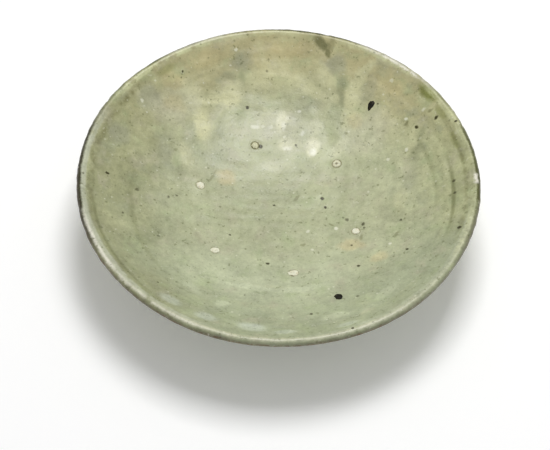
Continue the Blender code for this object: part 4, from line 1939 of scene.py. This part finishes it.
@dataclass(frozen=True)
class SpurStubs(Assembly):
    """What is left of the spurs: six stubs in the well and six under the foot."""

    proud: float = 0.34 * MM
    foot_buried: float = 0.4 * MM
    foot_flat: float = 9.0
    foot_break: SpurBreak = SpurBreak(1.0, 1.0, 0.10, 0.35, 0.0, 0.4)
    well_seed: int = 100
    foot_seed: int = 200

    def build(self) -> Iterator[Piece]:
        """Make all stubs.

        Returns:
            An iterator over the stubs in the well and then those under the foot.
        """
        material = SpurClay().material()
        for number, broken in enumerate(WELL_BREAKS, start=1):
            yield self._in_well(number, broken, material)
        for number in range(1, len(WELL_BREAKS) + 1):
            yield self._under_foot(number, material)

    def _in_well(self, number: int, broken: SpurBreak, material: Finish) -> Piece:
        """One stub in the well, square to the face at its place.

        Args:
            number: which stub.
            broken: how it broke off.
            material: its finish.

        Returns:
            The stub.
        """
        node = f"spur_stub_{number}"
        seat = Seat.of(node)
        place, axes = self.on_glaze(float(seat.middle[0]), float(seat.middle[1]))
        along, across = seat.half[0] * broken.along, seat.half[1] * broken.across
        lump = Lump(along, across, self.proud, self.form.bed, broken.ragged, self.well_seed + number)
        points, edge = lump.grid()
        piece = skin(f"well_spur_{number}", place + spun(points, broken.turn) @ axes, Ends.POLES)
        broken.soil(piece, edge)
        return self.place(piece, material, "spur_clay", node)

    def _under_foot(self, number: int, material: Finish) -> Piece:
        """One stub under the foot, which the dish stands on.

        Args:
            number: which stub.
            material: its finish.

        Returns:
            The stub, upside down and cut off level at the standing plane.
        """
        node = f"foot_stub_{number}"
        seat, top = Seat.of(node), self.form.foot_bottom
        lump = Lump(
            along=seat.half[0],
            across=seat.half[1],
            proud=top - seat.low[2],
            buried=self.foot_buried,
            ragged=self.foot_break.ragged,
            seed=self.foot_seed + number,
            flat=self.foot_flat,
        )
        points, edge = lump.grid()
        points = points * np.array((1.0, -1.0, -1.0)) + np.array((*seat.middle[:2], top))
        points[..., 2] = np.maximum(points[..., 2], seat.low[2])
        piece = skin(f"foot_spur_{number}", points, Ends.POLES)
        self.foot_break.soil(piece, edge)
        return self.place(piece, material, "spur_clay", node)


@dataclass(frozen=True)
class IronNodules(Assembly):
    """Two drops of iron that melted through the inner glaze."""

    proud: float = 0.26 * MM
    lengths: Tuple[float, ...] = (4.4 * MM, 3.9 * MM)
    widths: Tuple[float, ...] = (3.0 * MM, 3.3 * MM)
    points: Tuple[float, ...] = (0.5, 0.15)
    turns: Tuple[float, ...] = (12, 0)
    ragged: Tuple[float, ...] = (0.09, 0.07)
    flat: float = 6.0
    seed: int = 300

    def build(self) -> Iterator[Piece]:
        """Make both nodules.

        Returns:
            An iterator over them: first a drop whose point runs down the wall, then a rounder one.
        """
        material = IronSlag().material()
        sizes = zip(self.lengths, self.widths, self.points, self.turns, self.ragged)
        for number, (length, width, point, turn, ragged) in enumerate(sizes, start=1):
            node = f"iron_nodule_{number}"
            middle = Seat.of(node).middle
            place, axes = self.on_glaze(float(middle[0]), float(middle[1]))
            lump = Lump(
                along=length / 2,
                across=width / 2,
                proud=self.proud,
                buried=self.form.bed,
                ragged=ragged,
                seed=self.seed + number,
                point=point,
                flat=self.flat,
            )
            grid, edge = lump.grid()
            piece = skin(f"iron_drop_{number}", place + spun(grid, turn) @ axes, Ends.POLES)
            mark(piece, "edge", edge)
            yield self.place(piece, material, "iron_slag", node)


@dataclass(frozen=True)
class Studio:
    """A pale floor that sweeps up into a backdrop, soft light from above and behind, and the camera."""

    target: Vector
    distance: float = 0.75
    elevation: float = math.radians(51.2)
    roll: float = math.radians(1.86)
    focal_px: float = 2019.3
    frame_px: Tuple[int, int] = (550, 450)
    target_px: Tuple[float, float] = (278.9, 175.8)
    sensor: float = 36.0
    lamp_distance: float = 0.85
    lamp_elevation: float = math.radians(73)
    lamp_turn: float = math.radians(15)
    lamp_side: float = 0.36
    lamp_watts: float = 4.9
    sky: float = 0.38
    floor_radius: float = 2.2
    floor_pole: float = 0.02
    floor_spacing: float = 0.1
    floor_steps: int = 96
    floor_thickness: float = 0.02
    sweep: float = 0.9
    sweep_rows: int = 16
    floor_colour: Colour = (0.96, 0.96, 0.96)
    floor_glow: float = 0.13
    white_out: Span = (260.0, 700.0)

    def build(self) -> None:
        """Set up everything round the dish."""
        self._floor()
        self._light()
        self._camera()
        bpy.context.scene.view_settings.view_transform = "Standard"

    def _floor(self) -> None:
        """A round floor, flat to its radius and then a quarter circle upwards, which goes white far out."""
        flat = graded((self.floor_pole, self.floor_radius, self.floor_spacing))
        rise = np.linspace(0, math.pi / 2, self.sweep_rows)[1:]
        radius = np.concatenate((flat, self.floor_radius + self.sweep * np.sin(rise)))
        height = np.concatenate((np.zeros_like(flat), self.sweep * (1 - np.cos(rise))))
        face = Strip(np.stack((radius, height), axis=-1)[:, None], np.zeros((len(radius), 1, 2)))
        grid = face.wrapped(round_axis(self.floor_steps))
        below = grid[::-1] - np.array((0.0, 0.0, self.floor_thickness))
        floor = skin("floor", np.concatenate((grid, below)), Ends.POLES)
        bench = Bench("pale_floor")
        paper = bench.wire("ShaderNodeBsdfDiffuse", None, {"Color": self.floor_colour})
        glow = bench.wire("ShaderNodeEmission", None, {"Color": WHITE, "Strength": self.floor_glow})
        white = bench.wire("ShaderNodeAddShader", None, {0: paper, 1: glow})
        blank = bench.wire("ShaderNodeEmission", None, {"Color": WHITE, "Strength": 1.0})
        far = bench.vector("LENGTH", bench.place()).fade(*self.white_out)
        bright = bench.wire("ShaderNodeMixShader", None, {0: far, 1: white, 2: blank})
        rays = bench.node("ShaderNodeLightPath").outputs
        kinds = ("Is Camera Ray", "Is Glossy Ray", "Is Transmission Ray")
        seen = bench.most(Wire(bench, rays[kind]) for kind in kinds)
        surface = bench.wire("ShaderNodeMixShader", None, {0: seen, 1: paper, 2: bright})
        bench.node("ShaderNodeOutputMaterial", None, {"Surface": surface})
        floor.data.materials.append(bench.material)
        floor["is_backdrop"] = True

    def _light(self) -> None:
        """One broad lamp above and behind the dish, and an even sky."""
        lamp = bpy.data.lights.new("soft_box", "AREA")
        lamp.shape = "SQUARE"
        lamp.size = self.lamp_side
        lamp.energy = self.lamp_watts
        box = bpy.data.objects.new("soft_box", lamp)
        level = math.cos(self.lamp_elevation)
        aside, behind = level * math.sin(self.lamp_turn), level * math.cos(self.lamp_turn)
        towards = Vector((aside, behind, math.sin(self.lamp_elevation)))
        box.location = self.target + self.lamp_distance * towards
        box.rotation_mode = "QUATERNION"
        box.rotation_quaternion = towards.to_track_quat("Z", "Y")
        bpy.context.scene.collection.objects.link(box)
        world = bpy.data.worlds.new("even_sky")
        world.use_nodes = True
        background = world.node_tree.nodes["Background"].inputs
        background["Color"].default_value = (*WHITE, 1.0)
        background["Strength"].default_value = self.sky
        bpy.context.scene.world = world

    def _camera(self) -> None:
        """The camera, turned so that the middle of the rim falls on its own pixel of the frame."""
        back = Vector((0.0, -math.cos(self.elevation), math.sin(self.elevation)))
        right = Vector((1.0, 0.0, 0.0))
        up = back.cross(right)
        right, up = (
            math.cos(self.roll) * right + math.sin(self.roll) * up,
            math.cos(self.roll) * up - math.sin(self.roll) * right,
        )
        eye = self.target + self.distance * back
        aside = (self.frame_px[0] / 2 - self.target_px[0]) / self.focal_px
        down = (self.frame_px[1] / 2 - self.target_px[1]) / self.focal_px
        back = (back - aside * right + down * up).normalized()
        right = up.cross(back).normalized()
        up = back.cross(right)
        lens = bpy.data.cameras.new("camera")
        lens.sensor_width = self.sensor
        lens.lens = self.sensor * self.focal_px / self.frame_px[0]
        camera = bpy.data.objects.new("camera", lens)
        turn = Matrix((right, up, back)).transposed().to_4x4()
        camera.matrix_world = Matrix.Translation(eye) @ turn
        bpy.context.scene.collection.objects.link(camera)
        bpy.context.scene.camera = camera


def write_sizes() -> None:
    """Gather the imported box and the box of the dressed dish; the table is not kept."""
    boxes = {"cad": CAD_BOX, "visual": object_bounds()}
    {name: [list(corner) for corner in box] for name, box in boxes.items()}


def main() -> None:
    """Build the dish from the clay outwards, then the studio round it."""
    logging.basicConfig(level=logging.INFO, format="%(name)s: %(message)s")
    form, hand = DishForm.from_frame(), PottersHand()
    for kind in (ThrownBody, FootRing, GlazeCoats, SpurStubs, IronNodules):
        for piece in kind(form, hand).build():
            LOG.info("%s: %d faces", piece.name, len(piece.data.polygons))
    Studio(Vector((0.0, 0.0, form.height))).build()
    write_sizes()


if __name__ == "__main__":
    main()
